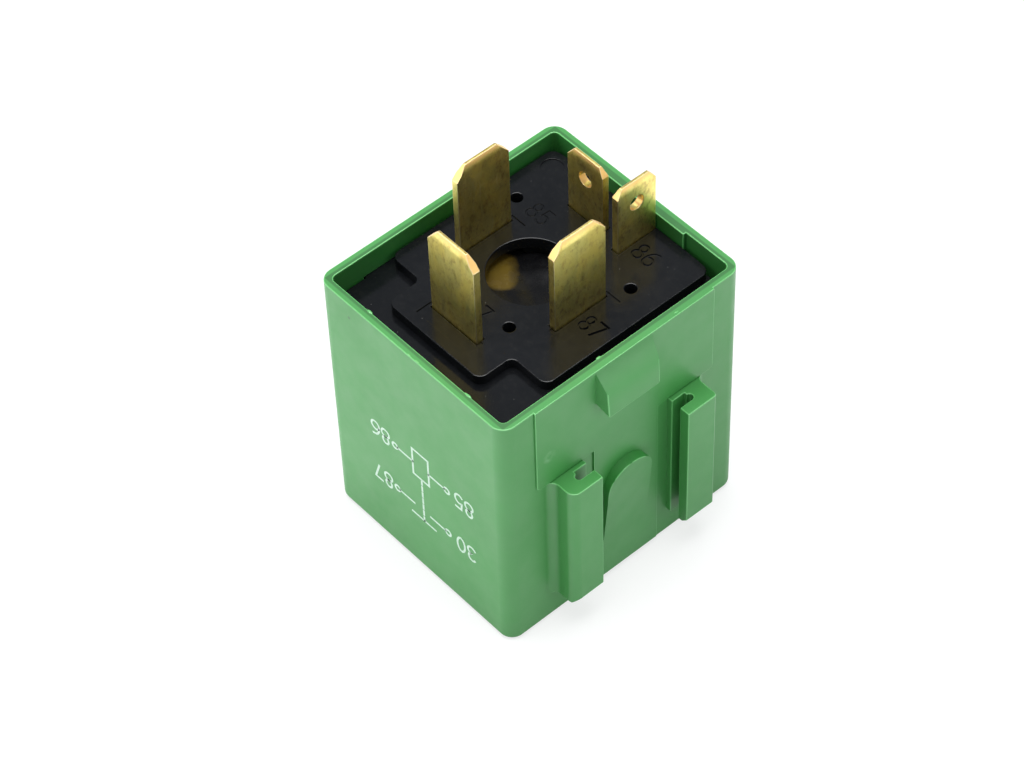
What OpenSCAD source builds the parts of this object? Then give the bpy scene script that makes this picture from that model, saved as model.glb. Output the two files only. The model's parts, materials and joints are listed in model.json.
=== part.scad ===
// Plug-in automotive relay with a hooked bracket mount.
// Millimetres. It rests on the closed end of its case with the blades up.
// Origin: centre of the closed end's flat face. +Z runs towards the blade tips,
// +X towards the side with the bracket rails, -Y towards the side with the circuit diagram.

/* [Case] */
// Outside width, along X, without the rails
case_w = 25.7; // [25.2:0.1:28]
// Outside depth, along Y
case_d = 29.6; // [29.2:0.1:32]
// Height from the closed end to the rim
case_h = 31.5; // [30.8:0.1:36]
// Wall thickness
case_wall = 0.9; // [0.7:0.05:1.1]
// Thickness of the closed end
case_floor = 1.2; // [0.8:0.1:1.6]
// Outside radius of the upright edges
case_edge_r = 1.5; // [1.45:0.05:2.2]
// Radius between the sides and the closed end
case_foot_r = 0.7; // [0.3:0.05:0.72]
// Inside radius of the upright edges
case_inner_r = 0.6; // [0.3:0.05:0.9]
// Width of the thick pad inside the +Y wall
pad_w = 12.4; // [8:0.1:16]
// Thickness of that pad
pad_t = 0.35; // [0.2:0.05:0.5]
// Side of the square posts in the corners that the base sits on
post_side = 1.6; // [1.2:0.1:2.2]

/* [Raised panel] */
// Height of the panel above the rail side
panel_t = 0.2; // [0.1:0.05:0.4]
// Width of the panel above the rails
panel_w = 22.1; // [19:0.1:22.4]
// Width of the strip that runs down between the rails
panel_strip_w = 8.1; // [6.5:0.1:10]
// Distance from the rim to the panel's lower edge
panel_drop = 11; // [9:0.1:12]
// Radius of the panel's lower corners
panel_corner_r = 0.5; // [0.2:0.05:1]

/* [Bracket rails] */
// Distance from the rim to the top of the rails
rail_drop = 11.1; // [9:0.1:13]
// Length of the rails
rail_len = 16.6; // [10:0.1:18]
// Free width between the two rails
rail_gap = 10.8; // [10.2:0.1:12]
// Width of one rail
rail_w = 3.7; // [3.2:0.1:4.2]
// Distance that the rails stand out
rail_out = 2.9; // [2.6:0.05:3.6]
// Thickness of the strip behind the slot
rail_back_t = 0.65; // [0.4:0.05:0.9]
// Width of the slot that takes the bracket's edge
rail_slot_w = 1.07; // [0.9:0.01:1.3]
// Depth of the slot
rail_slot_depth = 1.57; // [1.2:0.01:1.8]
// Radius of the relief at the slot's end
rail_relief_r = 0.38; // [0.25:0.01:0.45]
// Outer edge radius of the rail next to the printed side
rail_near_edge_r = 1; // [0.2:0.05:1.4]
// Outer edge radius of the other rail
rail_far_edge_r = 0.4; // [0.2:0.05:1.4]
// Fillet between a rail and the case
rail_fillet_r = 0.9; // [0.3:0.05:1]
// Chamfer at the rails' lower outer edge
rail_chamfer = 0.7; // [0.3:0.05:1]

/* [Snap wedge] */
// Width of the wedge at its outer face
wedge_w = 6.3; // [4:0.1:8]
// Extra width of the wedge where it meets the case, on each side
wedge_flare = 0.3; // [0:0.05:0.6]
// Offset of the wedge from the mid-plane, towards +Y
wedge_shift = -0.3; // [-1:0.1:1]
// Distance from the rim to the start of the ramp
wedge_drop = 0.2; // [0.1:0.05:0.5]
// Height of the ramp
wedge_ramp_h = 2.15; // [1.5:0.05:3]
// Distance that the ramp's end stands out from the panel
wedge_ramp_out = 1.3; // [0.8:0.05:1.8]
// Height of the steep face below the ramp
wedge_face_h = 3.05; // [2:0.05:3.5]
// Further distance that the steep face leans out
wedge_face_out = 0.18; // [0:0.02:0.3]
// Rise of the wedge's underside towards the case
wedge_undercut = 0.9; // [0:0.1:1.2]

/* [Snap tongue] */
// Radius of the tongue's round top
tongue_r = 2.75; // [2:0.05:3.2]
// Offset of the tongue from the mid-plane, towards +Y
tongue_shift = -0.2; // [-0.6:0.1:0.6]
// Distance from the rim to the tongue's top
tongue_drop = 14.8; // [13:0.1:17]
// Length of the tongue down to where it is flush
tongue_len = 10.7; // [8:0.1:12]
// Distance that its top stands out from the panel
tongue_out = 1.1; // [0.6:0.05:1.6]

/* [Base] */
// Depth of the plateau below the rim
plateau_drop = 1.7; // [1.2:0.1:2.2]
// Depth of the outer ledge below the rim
ledge_drop = 2.8; // [2.4:0.1:3.2]
// Thickness of the base at the ledge
base_t = 2.5; // [2.2:0.1:2.6]
// Gap between the base and the case
base_clear = 0.1; // [0.05:0.01:0.15]
// Corner radius of the base's ledge
base_edge_r = 0.8; // [0.4:0.1:1.2]
// Offset of the blade pattern from the case's centre, along Y
pin_y = 1.1; // [0.9:0.1:1.3]
// Width of the ledge beside the plateau, on the -X side
ledge_left = 0.25; // [0.1:0.05:0.6]
// Width of the ledge on the +X side
ledge_right = 1.75; // [1:0.05:2.5]
// Width of the ledge on the -Y side
ledge_front = 2.7; // [2:0.1:3.2]
// Width of the ledge on the +Y side
ledge_back = 0.05; // [0:0.05:0.2]
// Width of the corner notch on the -X side
notch_left_w = 4.2; // [3:0.1:4.8]
// Width of the corner notch on the +X side
notch_right_w = 4.6; // [3:0.1:5]
// Depth of both corner notches
notch_d = 4; // [3:0.1:4.2]
// Radius of the plateau's outer corners
plateau_edge_r = 1; // [0.5:0.1:1.3]
// Radius in the notches' inner corners
notch_r = 0.7; // [0.3:0.1:1]
// Radius of the centre hole
eye_r = 4.2; // [3.8:0.1:4.4]
// Thickness of the skin around the centre hole
eye_skin = 1.3; // [0.8:0.1:1.6]
// Clearance of the wide part of the hole round the core's riveted head
eye_well_clear = 0.3; // [0.2:0.05:0.35]
// Extra radius of the centre hole under its skin
eye_relief = 0.3; // [0.1:0.1:0.5]
// Radius of the three small holes
vent_r = 0.6; // [0.4:0.05:0.8]
// Distance of the two side holes from the pattern's centre, along X
vent_side_x = 7.9; // [7.4:0.1:8.6]
// Distance of the two side holes from the pattern's centre, along Y
vent_side_y = 5.35; // [5.2:0.05:6]
// Distance of the front hole from the pattern's centre, along X
vent_front_x = 3.8; // [3.2:0.1:4.4]
// Distance of the front hole from the pattern's centre, along -Y
vent_front_y = 6; // [5.2:0.1:6.4]
// Clearance between a blade and its slot, on each side
slot_clear = 0.04; // [0.02:0.01:0.08]
// Depth of the shallow pads beside the blades
mark_depth = 0.12; // [0.05:0.01:0.2]
// Width of the shallow pads beside the blades
mark_w = 1.5; // [1:0.1:1.8]
// Overhang of those pads beyond the blades
mark_over = 0.4; // [0.2:0.1:0.6]
// Radius of the round ejector mark
ejector_r = 1.15; // [0.8:0.05:1.4]
// Distance of the ejector mark's centre from the plateau's edges
ejector_inset = 1.85; // [1.5:0.05:2.4]
// Height of the snap nubs on the base's sides
nub_out = 0.3; // [0.2:0.05:0.4]
// Length of the snap nubs
nub_len = 4; // [2:0.1:6]
// Height of the snap nubs
nub_h = 0.8; // [0.6:0.1:1.2]
// Distance of the snap nubs from the mid-plane
nub_y = 8; // [7:0.1:9]

/* [Blades] */
// Thickness of all blades
blade_t = 0.8; // [0.6:0.05:0.9]
// Width of the three load blades
load_w = 6.3; // [5.8:0.1:6.4]
// Height of the load blades above the plateau
load_h = 10.7; // [8:0.1:12]
// Height of the load blades' tip corners
load_tip_h = 1.5; // [0.8:0.05:2]
// Width of the load blades' tip corners
load_tip_w = 1.23; // [0.6:0.01:1.6]
// Width of the two coil blades
coil_w = 4.8; // [4:0.1:5]
// Height of the coil blades above the plateau
coil_h = 7.9; // [6:0.1:10]
// Height of the coil blades' tip corners
coil_tip_h = 0.92; // [0.5:0.01:1.4]
// Width of the coil blades' tip corners
coil_tip_w = 0.72; // [0.4:0.01:1.2]
// Radius of the detent hole in the coil blades
detent_r = 0.85; // [0.5:0.05:1]
// Height of the detent hole above the plateau
detent_h = 5.2; // [3:0.1:5.6]
// Height of the thinned lead-in at the tips
lead_in_h = 0.9; // [0.4:0.05:1.4]
// Thickness at the very tip
tip_t = 0.3; // [0.2:0.05:0.5]
// Distance of blade 30 from the base's -X edge
blade_30_inset = 4.1; // [3.9:0.05:4.3]
// Distance of the side blade 87 from the base's +X edge
blade_87_inset = 6.5; // [6.2:0.05:6.7]
// Distance of the front blade 87 from the base's -Y edge
blade_87f_inset = 5.85; // [5.6:0.05:6]
// Offset of the front blade from the pattern's centre, along X
front_blade_x = 0.1; // [-0.3:0.1:0.3]
// Coil blade 85, distance from the pattern's centre along -X
blade_85_x = 1.5; // [1.2:0.1:1.8]
// Coil blade 86, distance from the pattern's centre along X
blade_86_x = 3.5; // [3.2:0.1:3.8]
// Distance of blade 86's edge from the base's +Y edge
blade_86_edge = 0.1; // [0.05:0.05:0.4]
// Distance of blade 85 behind the middle of blade 86, along -Y
blade_85_behind = 1.15; // [0.9:0.05:1.4]
// Width of the shoulders that stop the blades under the base
shoulder_w = 0.5; // [0.3:0.05:0.6]
// Height of those shoulders
shoulder_h = 1; // [0.6:0.1:1.1]
// Inside radius of the folds in the blades
blade_fold_r = 0.4; // [0.2:0.05:0.5]
// Width of the legs that go down to the fixed contacts
leg_w = 3.4; // [3:0.1:4]
// Length of the feet that hold the fixed contacts, from the leg's far face
foot_len = 4.3; // [4:0.1:4.6]
// Distance of the fixed contacts from the feet's free ends
contact_edge = 1.5; // [1.4:0.05:1.7]
// Distance below the base at which the front blade's limb turns aside
limb_drop = 6; // [4:0.5:7]
// Height above its foot at which that limb turns back
limb_rise = 5; // [3:0.5:6]
// Height of the limb's outer turns above its inner ones
limb_skew = 1.2; // [0.8:0.1:1.6]
// Width of the tails that the coil wire is soldered to
tail_w = 1.6; // [1.2:0.1:1.8]
// Length of the tails beyond the resistor's leads
tail_over = 1.2; // [0.6:0.1:2]

/* [Electromagnet] */
// Room between the case and the yoke, for the leaf and its rivets
magnet_gap = 0.75; // [0.7:0.05:1]
// Room between the closed end and the pole, in which the armature swings
armature_room = 4.8; // [4.5:0.1:5.4]
// Thickness of the yoke
yoke_t = 1.2; // [1:0.05:1.3]
// Width of the yoke
yoke_w = 10.6; // [9.6:0.1:11.4]
// Inside radius of the yoke's fold
yoke_fold_r = 0.2; // [0.1:0.05:0.2]
// Side of the square bobbin flanges
flange_side = 11; // [10.6:0.1:11.2]
// Corner radius of the bobbin flanges
flange_edge_r = 0.5; // [0.2:0.1:1]
// Thickness of the upper bobbin flange
flange_top_t = 1.2; // [1:0.1:1.5]
// Thickness of the lower bobbin flange
flange_low_t = 1; // [0.8:0.1:1.3]
// Wall of the bobbin's tube
bobbin_wall = 0.7; // [0.5:0.05:0.9]
// Radius of the core's shank
core_r = 2.45; // [2.2:0.05:2.6]
// Radius of the core's neck in the yoke
neck_r = 2; // [1.7:0.05:2.1]
// Radius of the core's riveted head
rivet_head_r = 2.35; // [2.25:0.05:2.4]
// Height of the riveted head above the yoke
rivet_head_h = 0.65; // [0.4:0.05:0.9]
// Rounding at the riveted head's edge
rivet_edge = 0.3; // [0.1:0.05:0.4]
// Radius of the pole at the core's lower end
pole_r = 4; // [3.5:0.1:4.4]
// Thickness of the pole
pole_t = 1; // [0.8:0.05:1.2]
// Sliding clearance between the core and the bobbin, and in other seats
seat_clear = 0.04; // [0.02:0.01:0.06]
// Distance of the winding from the flanges' edge
winding_inset = 0.3; // [0.2:0.05:0.8]
// Number of turns in the outer layer
winding_turns = 20; // [12:1:24]
// Radius of the coil wire's lead ends
lead_r = 0.14; // [0.1:0.01:0.2]
// Distance of the lead ends below the upper flange
lead_drop = 1.1; // [0.6:0.1:1.6]
// Width of the bobbin's ear around the coil blades' tails
ear_rim = 1; // [0.6:0.1:1.4]

/* [Armature and contacts] */
// Thickness of the armature
arm_t = 1.2; // [1:0.05:1.3]
// Length of the armature beyond the bobbin's flange
arm_over = 1.4; // [1.1:0.1:1.6]
// Narrowing of the armature's free end, on each side
arm_taper = 0.7; // [0.3:0.1:1.2]
// Angle between open and closed
open_angle = 3.6; // [2.5:0.1:4]
// Air gap left between armature and pole when closed
residual_gap = 0.05; // [0.04:0.01:0.08]
// Thickness of the leaf
leaf_t = 0.2; // [0.12:0.01:0.25]
// Width of the leaf along the yoke
leaf_w = 7.6; // [6.4:0.1:8]
// Height of the leaf's upper end above the hinge edge
leaf_rise = 12.6; // [10:0.1:14]
// Distance from the armature's free end back to the start of the fingers
leaf_setback = 1.2; // [1:0.1:1.6]
// Width of the leaf's crossbar
crossbar_w = 2.2; // [2.1:0.1:3]
// Inside radius of the leaf's bend round the armature's heel
leaf_bend_r = 0.6; // [0.4:0.05:0.8]
// Width of the leaf's contact fingers
finger_w = 2.8; // [2.4:0.1:3]
// Clearance between the armature and the leaf where it bends round the heel
heel_clear = 0.1; // [0.05:0.05:0.3]
// Length of the fingers beyond the contacts
finger_over = 1.4; // [1.2:0.1:1.7]
// Radius of the contact heads
contact_r = 1.3; // [1:0.05:1.4]
// Rounding of the contact heads
contact_crown = 0.15; // [0.05:0.05:0.25]
// Height of the contact heads
contact_h = 0.7; // [0.5:0.05:0.8]
// Radius of the contact and rivet shanks
shank_r = 0.6; // [0.5:0.05:0.7]
// Height of the upset tails of the contact rivets
tail_h = 0.25; // [0.15:0.05:0.3]
// Width of those tails beyond the shanks
tail_flare = 0.3; // [0.15:0.05:0.5]
// Radius of the heads of the leaf's rivets
leaf_rivet_r = 1.05; // [0.9:0.05:1.2]
// Height of those heads
leaf_rivet_h = 0.32; // [0.2:0.02:0.34]
// Distance between the two rivets on the yoke
yoke_rivet_pitch = 3.8; // [3:0.1:4.6]
// Distance between the two rivets on the armature
arm_rivet_pitch = 5.2; // [4:0.1:5.4]
// Distance of the yoke rivets below the leaf's upper end
yoke_rivet_drop = 2; // [1.6:0.1:3]
// Side of the stop hook that holds the open armature
hook_t = 1; // [0.8:0.1:1.2]
// Length of the stop hook's toe under the armature
hook_toe = 1.2; // [0.8:0.1:1.4]
// Gap between the stop hook and the armature's free end
hook_gap = 0.3; // [0.25:0.05:0.5]
// Width of the stop hook
hook_w = 2.2; // [1.6:0.1:2.6]
// Radius of the suppression resistor
resistor_r = 1.1; // [0.8:0.05:1.3]
// Length of the suppression resistor's body
resistor_len = 3.2; // [2.6:0.1:3.4]
// Radius of the resistor's leads
resistor_lead_r = 0.25; // [0.15:0.05:0.35]
// Gap between the resistor and the coil's lead ends
resistor_gap = 0.4; // [0.2:0.1:0.8]

/* [Hidden] */
$fn = 64;

// Colours
green = [0.31, 0.60, 0.32];
black = [0.09, 0.09, 0.10];
brass = [0.72, 0.60, 0.32];
steel = [0.62, 0.62, 0.64];
copper = [0.72, 0.40, 0.22];
silver = [0.80, 0.80, 0.78];
ivory = [0.86, 0.83, 0.74];

// Overlap that makes cutting tools and fused shapes clean
eps = 0.05;

// Inside of the case
in_x = case_w / 2 - case_wall;
in_y = case_d / 2 - case_wall;

// Edges of the base and of its plateau
base_x = in_x - base_clear;
base_front_y = -in_y + base_clear;
base_back_y = in_y - pad_t - base_clear;
plateau_low = [-base_x + ledge_left, base_front_y + ledge_front];
plateau_high = [base_x - ledge_right, base_back_y - ledge_back];

// Levels, from the rim down and from the closed end up
plateau_z = case_h - plateau_drop;
ledge_z = case_h - ledge_drop;
under_z = ledge_z - base_t;
flange_top_z = under_z - yoke_t;
pole_z = case_floor + armature_room;
flange_low_z = pole_z + pole_t;
bobbin_len = flange_top_z - flange_low_z;
rail_top_z = case_h - rail_drop;
rail_low_z = rail_top_z - rail_len;

// Yoke and coil axis: the bobbin's flanges stand against the yoke's fold
flange_half = flange_side / 2;
yoke_out_x = -in_x + magnet_gap;
yoke_in_x = yoke_out_x + yoke_t;
core_x = yoke_in_x + yoke_fold_r + flange_half;
core_y = pin_y;
winding_r = flange_half - winding_inset;
yoke_front_x = core_x + flange_half - yoke_fold_r;

// Levels of the coil's lead ends, of the resistor and of the tails' lower ends
lead_z = flange_top_z - flange_top_t - lead_drop;
resistor_z = lead_z - lead_r - resistor_gap - resistor_r;
tail_low_z = resistor_z - tail_over;

// Hinge edge: the outer lower edge of the yoke
hinge = [yoke_out_x, core_y, pole_z];

// Blade planes
blade_30_x = -base_x + blade_30_inset;
blade_87_x = base_x - blade_87_inset;
pin_x = (blade_30_x + blade_87_x) / 2;
blade_87f_x = pin_x + front_blade_x;
blade_87f_y = base_front_y + blade_87f_inset;
c86 = [pin_x + blade_86_x, base_back_y - blade_86_edge - coil_w / 2];
c85 = [pin_x - blade_85_x, c86[1] - blade_85_behind];
// The tail of blade 86 stands flush with the back of blade 85's tail
tail_86_shift = (tail_w - blade_t) / 2 - blade_85_behind;

// Contacts: both fixed ones stand on feet of the same length
contact_x = blade_87_x - blade_t / 2 + foot_len - contact_edge;
contact_reach = contact_x - hinge[0];
side_contact_y = pin_y + load_w / 2 - leg_w / 2;
front_contact_y = blade_87f_y - blade_t / 2 + foot_len - contact_edge;
arm_len = yoke_t + yoke_fold_r + 2 * flange_half + arm_over;
leaf_top_w = -residual_gap - arm_t;
contact_face_z = pole_z + leaf_top_w + contact_h + residual_gap;
foot_z = contact_face_z + contact_h;

// Leaf
fork_x = arm_len - leaf_setback;
crossbar_x = fork_x - crossbar_w;
leaf_bend_u = (leaf_bend_r - (leaf_top_w + leaf_bend_r) * sin(open_angle)) / cos(open_angle);
leaf_bend_steps = 10;

// Armature in the open position: lower corner of its free end
arm_low_z = pole_z - arm_len * sin(open_angle) + leaf_top_w * cos(open_angle);
arm_end_x = hinge[0] + arm_len;

// ---------------------------------------------------------------- helpers

// Upright block with round upright edges, given by its corners
module rounded_block(low, high, r) {
    size = high - low;
    translate(low) {
        translate([r, 0, 0]) cube([size[0] - 2 * r, size[1], size[2]]);
        translate([0, r, 0]) cube([size[0], size[1] - 2 * r, size[2]]);
        for (x = [r, size[0] - r], y = [r, size[1] - r]) {
            translate([x, y, 0]) cylinder(r = r, h = size[2]);
        }
    }
}

// Half section of an upright edge with its rounded foot, and the same as a full width section
module foot_section(reach, r, h) {
    translate([0, r]) square([reach, h - r]);
    square([reach - r, h]);
    translate([reach - r, r]) circle(r);
}

module foot_width_section(half, r, h) {
    foot_section(half, r, h);
    mirror([1, 0]) foot_section(half, r, h);
}

// Outline in Y and Z, extruded along +X from x to x + t
module plate_facing_x(x, t) {
    translate([x, 0, 0]) rotate([90, 0, 90]) linear_extrude(t) children();
}

// Section in X and Z, extruded along Y between two values
module run_along_y(y0, y1) {
    translate([0, y1, 0]) rotate([90, 0, 0]) linear_extrude(y1 - y0) children();
}

// Round part made of stacked discs: [radius, height] pairs from the bottom up
module stacked_discs(discs, from = 0) {
    if (from < len(discs)) {
        cylinder(r = discs[from][0], h = discs[from][1]);
        translate([0, 0, discs[from][1]]) stacked_discs(discs, from + 1);
    }
}

// Straight round wire between two points
module wire(p, q, r) {
    d = q - p;
    translate(p) rotate([0, acos(d[2] / norm(d)), atan2(d[1], d[0])]) cylinder(r = r, h = norm(d));
}

// Folded corner of a blade's sheet: comes down on the -Y side and leaves towards +Y
module sheet_fold(w) {
    translate([-w / 2, 0, 0]) rotate([0, 90, 0])
        rotate_extrude(angle = -90) translate([blade_fold_r, 0]) square([blade_t, w]);
}

// ---------------------------------------------------------------- case

module case_outside() {
    flat_x = case_w / 2 - case_edge_r;
    flat_y = case_d / 2 - case_edge_r;
    run_along_y(-flat_y, flat_y) foot_width_section(case_w / 2, case_foot_r, case_h);
    plate_facing_x(-flat_x, 2 * flat_x) foot_width_section(case_d / 2, case_foot_r, case_h);
    for (x = [-flat_x, flat_x], y = [-flat_y, flat_y]) {
        translate([x, y, 0]) rotate_extrude() foot_section(case_edge_r, case_foot_r, case_h);
    }
}

module case_inside() {
    difference() {
        rounded_block([-in_x, -in_y, case_floor], [in_x, in_y, case_h + 1], case_inner_r);
        translate([-pad_w / 2, in_y - pad_t, 0]) cube([pad_w, pad_t + 1, case_h + 2]);
        for (x = [-in_x - 1, in_x - post_side], y = [-in_y - 1, in_y - post_side]) {
            translate([x, y, 0]) cube([post_side + 1, post_side + 1, under_z]);
        }
    }
}

module raised_panel() {
    corner_y = panel_w / 2 - panel_corner_r;
    corner_z = case_h - panel_drop + panel_corner_r;
    plate_facing_x(case_w / 2 - eps, panel_t + eps) {
        translate([-panel_w / 2, corner_z]) square([panel_w, case_h - corner_z]);
        translate([-corner_y, corner_z - panel_corner_r]) square([2 * corner_y, panel_drop]);
        for (y = [-corner_y, corner_y]) {
            translate([y, corner_z]) circle(panel_corner_r);
        }
        translate([-panel_strip_w / 2, case_foot_r]) square([panel_strip_w, case_h - panel_drop]);
    }
}

// Section of one rail: x is the distance out from the case, y the distance from the mid-plane
module rail_section(edge_r) {
    inner = rail_gap / 2;
    outer = inner + rail_w;
    slot_end = inner + rail_slot_depth;
    difference() {
        union() {
            translate([-eps, inner]) square([rail_out - edge_r + eps, rail_w]);
            translate([-eps, inner]) square([rail_out + eps, rail_w - edge_r]);
            translate([rail_out - edge_r, outer - edge_r]) circle(edge_r);
            translate([-eps, outer - eps]) square([rail_fillet_r + eps, rail_fillet_r + eps]);
        }
        translate([rail_fillet_r, outer + rail_fillet_r]) circle(rail_fillet_r);
        translate([rail_back_t, inner - 1]) square([rail_slot_w, slot_end - inner + 1]);
        translate([rail_back_t + rail_slot_w - rail_relief_r, slot_end]) circle(rail_relief_r);
    }
}

module rail(edge_r) {
    x = case_w / 2;
    difference() {
        translate([x, 0, rail_low_z]) linear_extrude(rail_len) rail_section(edge_r);
        run_along_y(0, case_d / 2) polygon([
            [x + rail_out - rail_chamfer, rail_low_z - eps],
            [x + rail_out + eps, rail_low_z - eps],
            [x + rail_out + eps, rail_low_z + rail_chamfer]
        ]);
    }
}

module snap_wedge() {
    face = case_w / 2 + panel_t;
    top = case_h - wedge_drop;
    ramp_x = face + wedge_ramp_out;
    nose_x = ramp_x + wedge_face_out;
    nose_z = top - wedge_ramp_h - wedge_face_h;
    half = wedge_w / 2;
    translate([0, wedge_shift, 0]) intersection() {
        run_along_y(-half - wedge_flare, half + wedge_flare) polygon([
            [face - panel_t - eps, top],
            [face, top],
            [ramp_x, top - wedge_ramp_h],
            [nose_x, nose_z],
            [face, nose_z + wedge_undercut],
            [face - panel_t - eps, nose_z + wedge_undercut]
        ]);
        linear_extrude(case_h) polygon([
            [face - 1, -half - wedge_flare],
            [face, -half - wedge_flare],
            [nose_x, -half],
            [nose_x, half],
            [face, half + wedge_flare],
            [face - 1, half + wedge_flare]
        ]);
    }
}

module snap_tongue() {
    face = case_w / 2 + panel_t;
    top = case_h - tongue_drop;
    low = top - tongue_len;
    intersection() {
        plate_facing_x(face - panel_t - eps, tongue_out + panel_t + 2 * eps) {
            translate([tongue_shift, top - tongue_r]) circle(tongue_r);
            translate([tongue_shift - tongue_r, low]) square([2 * tongue_r, tongue_len - tongue_r]);
        }
        run_along_y(-case_d / 2, case_d / 2) polygon([
            [face - panel_t - eps, low],
            [face, low],
            [face + tongue_out, top],
            [face - panel_t - eps, top]
        ]);
    }
}

// Pockets inside the case for the base's snap nubs, or the nubs themselves
module snap_row(grow) {
    reach = nub_out + grow;
    for (x = [-in_x - reach, in_x - 1], y = [-nub_y, nub_y]) {
        translate([x, y - nub_len / 2 - grow, ledge_z - nub_h - 2 * grow])
            cube([reach + 1, nub_len + 2 * grow, nub_h + 2 * grow]);
    }
}

module case() color(green) difference() {
    union() {
        case_outside();
        raised_panel();
        rail(rail_far_edge_r);
        mirror([0, 1, 0]) rail(rail_near_edge_r);
        snap_wedge();
        snap_tongue();
    }
    case_inside();
    snap_row(base_clear);
}

// ---------------------------------------------------------------- base

module plateau() {
    low = plateau_low;
    high = plateau_high;
    shelf_y = low[1] + notch_d;
    nose_low = low[0] + notch_left_w;
    nose_high = high[0] - notch_right_w;
    z0 = ledge_z - eps;
    rounded_block([low[0], shelf_y, z0], [high[0], high[1], plateau_z], plateau_edge_r);
    rounded_block([nose_low, low[1], z0], [nose_high, shelf_y + 2 * plateau_edge_r, plateau_z], plateau_edge_r);
    difference() {
        translate([nose_low - notch_r, shelf_y - notch_r, z0])
            cube([nose_high - nose_low + 2 * notch_r, notch_r + eps, plateau_z - z0]);
        for (x = [nose_low - notch_r, nose_high + notch_r]) {
            translate([x, shelf_y - notch_r, z0 - 1]) cylinder(r = notch_r, h = plateau_z - z0 + 2);
        }
    }
}

// Slot for a blade whose plane faces X or Y
module slot_facing_x(x, y, w) {
    translate([x - blade_t / 2 - slot_clear, y - w / 2 - slot_clear, under_z - 1])
        cube([blade_t + 2 * slot_clear, w + 2 * slot_clear, case_h]);
}

module slot_facing_y(x, y, w) {
    translate([x - w / 2 - slot_clear, y - blade_t / 2 - slot_clear, under_z - 1])
        cube([w + 2 * slot_clear, blade_t + 2 * slot_clear, case_h]);
}

module blade_slots() {
    slot_facing_x(blade_30_x, pin_y, load_w);
    slot_facing_x(blade_87_x, pin_y, load_w);
    slot_facing_y(blade_87f_x, blade_87f_y, load_w);
    slot_facing_y(c85[0], c85[1], coil_w);
    slot_facing_x(c86[0], c86[1], coil_w);
}

module shallow_marks() {
    z = plateau_z - mark_depth;
    for (x = [blade_30_x, blade_87_x]) {
        translate([x, pin_y - load_w / 2 - mark_over, z])
            cube([mark_w + blade_t / 2, load_w + 2 * mark_over, 1]);
    }
    translate([blade_87f_x - load_w / 2 - mark_over, blade_87f_y - mark_w - blade_t / 2, z])
        cube([load_w + 2 * mark_over, mark_w + blade_t / 2, 1]);
    translate([plateau_low[0] + ejector_inset, plateau_high[1] - ejector_inset, z]) cylinder(r = ejector_r, h = 1);
}

module centre_eye() {
    translate([pin_x, pin_y, under_z - 1]) cylinder(r = eye_r, h = case_h);
    well_top = plateau_z - eye_skin;
    translate([pin_x, pin_y, under_z - 1]) cylinder(r = eye_r + eye_relief, h = well_top - under_z + 1);
    translate([core_x, core_y, under_z - 1])
        cylinder(r = rivet_head_r + eye_well_clear, h = well_top - under_z + 1);
}

module vents() {
    places = [
        [pin_x - vent_side_x, pin_y + vent_side_y],
        [pin_x + vent_side_x, pin_y + vent_side_y],
        [pin_x + vent_front_x, pin_y - vent_front_y]
    ];
    for (p = places) translate([p[0], p[1], under_z - 1]) cylinder(r = vent_r, h = case_h);
}

// Room under the base for the foot of blade 30
module foot_pocket() {
    x0 = yoke_out_x - slot_clear;
    x1 = blade_30_x + blade_t / 2 + slot_clear;
    translate([x0, pin_y - load_w / 2 - slot_clear, under_z - 1])
        cube([x1 - x0, load_w + 2 * slot_clear, blade_t + blade_fold_r + 1 + slot_clear]);
}

module base_plate() color(black) difference() {
    union() {
        rounded_block([-base_x, base_front_y, under_z], [base_x, base_back_y, ledge_z], base_edge_r);
        plateau();
        intersection() {
            snap_row(0);
            translate([-case_w, -case_d, 0]) cube([2 * case_w, 2 * case_d, ledge_z]);
        }
    }
    blade_slots();
    shallow_marks();
    centre_eye();
    vents();
    foot_pocket();
}

// ---------------------------------------------------------------- blades

// Blade above the base's underside: plane faces Y, centred on the Z axis, with a thinned tip
module blade(w, h, tip_h, tip_w) {
    top = plateau_z + h;
    intersection() {
        run_along_y(-blade_t / 2, blade_t / 2) polygon([
            [-w / 2, under_z], [w / 2, under_z],
            [w / 2, top - tip_h], [w / 2 - tip_w, top],
            [-w / 2 + tip_w, top], [-w / 2, top - tip_h]
        ]);
        plate_facing_x(-w / 2, w) polygon([
            [-blade_t / 2, under_z], [blade_t / 2, under_z],
            [blade_t / 2, top - lead_in_h], [tip_t / 2, top],
            [-tip_t / 2, top], [-blade_t / 2, top - lead_in_h]
        ]);
    }
}

// Flat stretch of a blade's sheet, plane facing Y
module sheet(x0, x1, z0, z1) {
    translate([x0, -blade_t / 2, z0]) cube([x1 - x0, blade_t, z1 - z0]);
}

// Foot folded towards +Y at the lower end of a leg, with the hole for its fixed contact
module contact_foot(x, hole_y) {
    far = -blade_t / 2 + foot_len;
    near = blade_t / 2 + blade_fold_r;
    translate([x, near, foot_z + blade_t + blade_fold_r]) sheet_fold(leg_w);
    difference() {
        translate([x - leg_w / 2, near, foot_z]) cube([leg_w, far - near, blade_t]);
        translate([x, hole_y, foot_z - 1]) cylinder(r = shank_r + seat_clear, h = blade_t + 2);
    }
}

module terminal_87_side() color(brass) translate([blade_87_x, pin_y, 0]) rotate([0, 0, -90]) {
    // here x runs towards -Y and the sheet's far side is +X
    leg_x = -(side_contact_y - pin_y);
    blade(load_w, load_h, load_tip_h, load_tip_w);
    sheet(-load_w / 2 - shoulder_w, load_w / 2 + shoulder_w, under_z - shoulder_h, under_z);
    sheet(leg_x - leg_w / 2, leg_x + leg_w / 2, foot_z + blade_t + blade_fold_r, under_z);
    contact_foot(leg_x, contact_x - blade_87_x);
}

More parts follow.
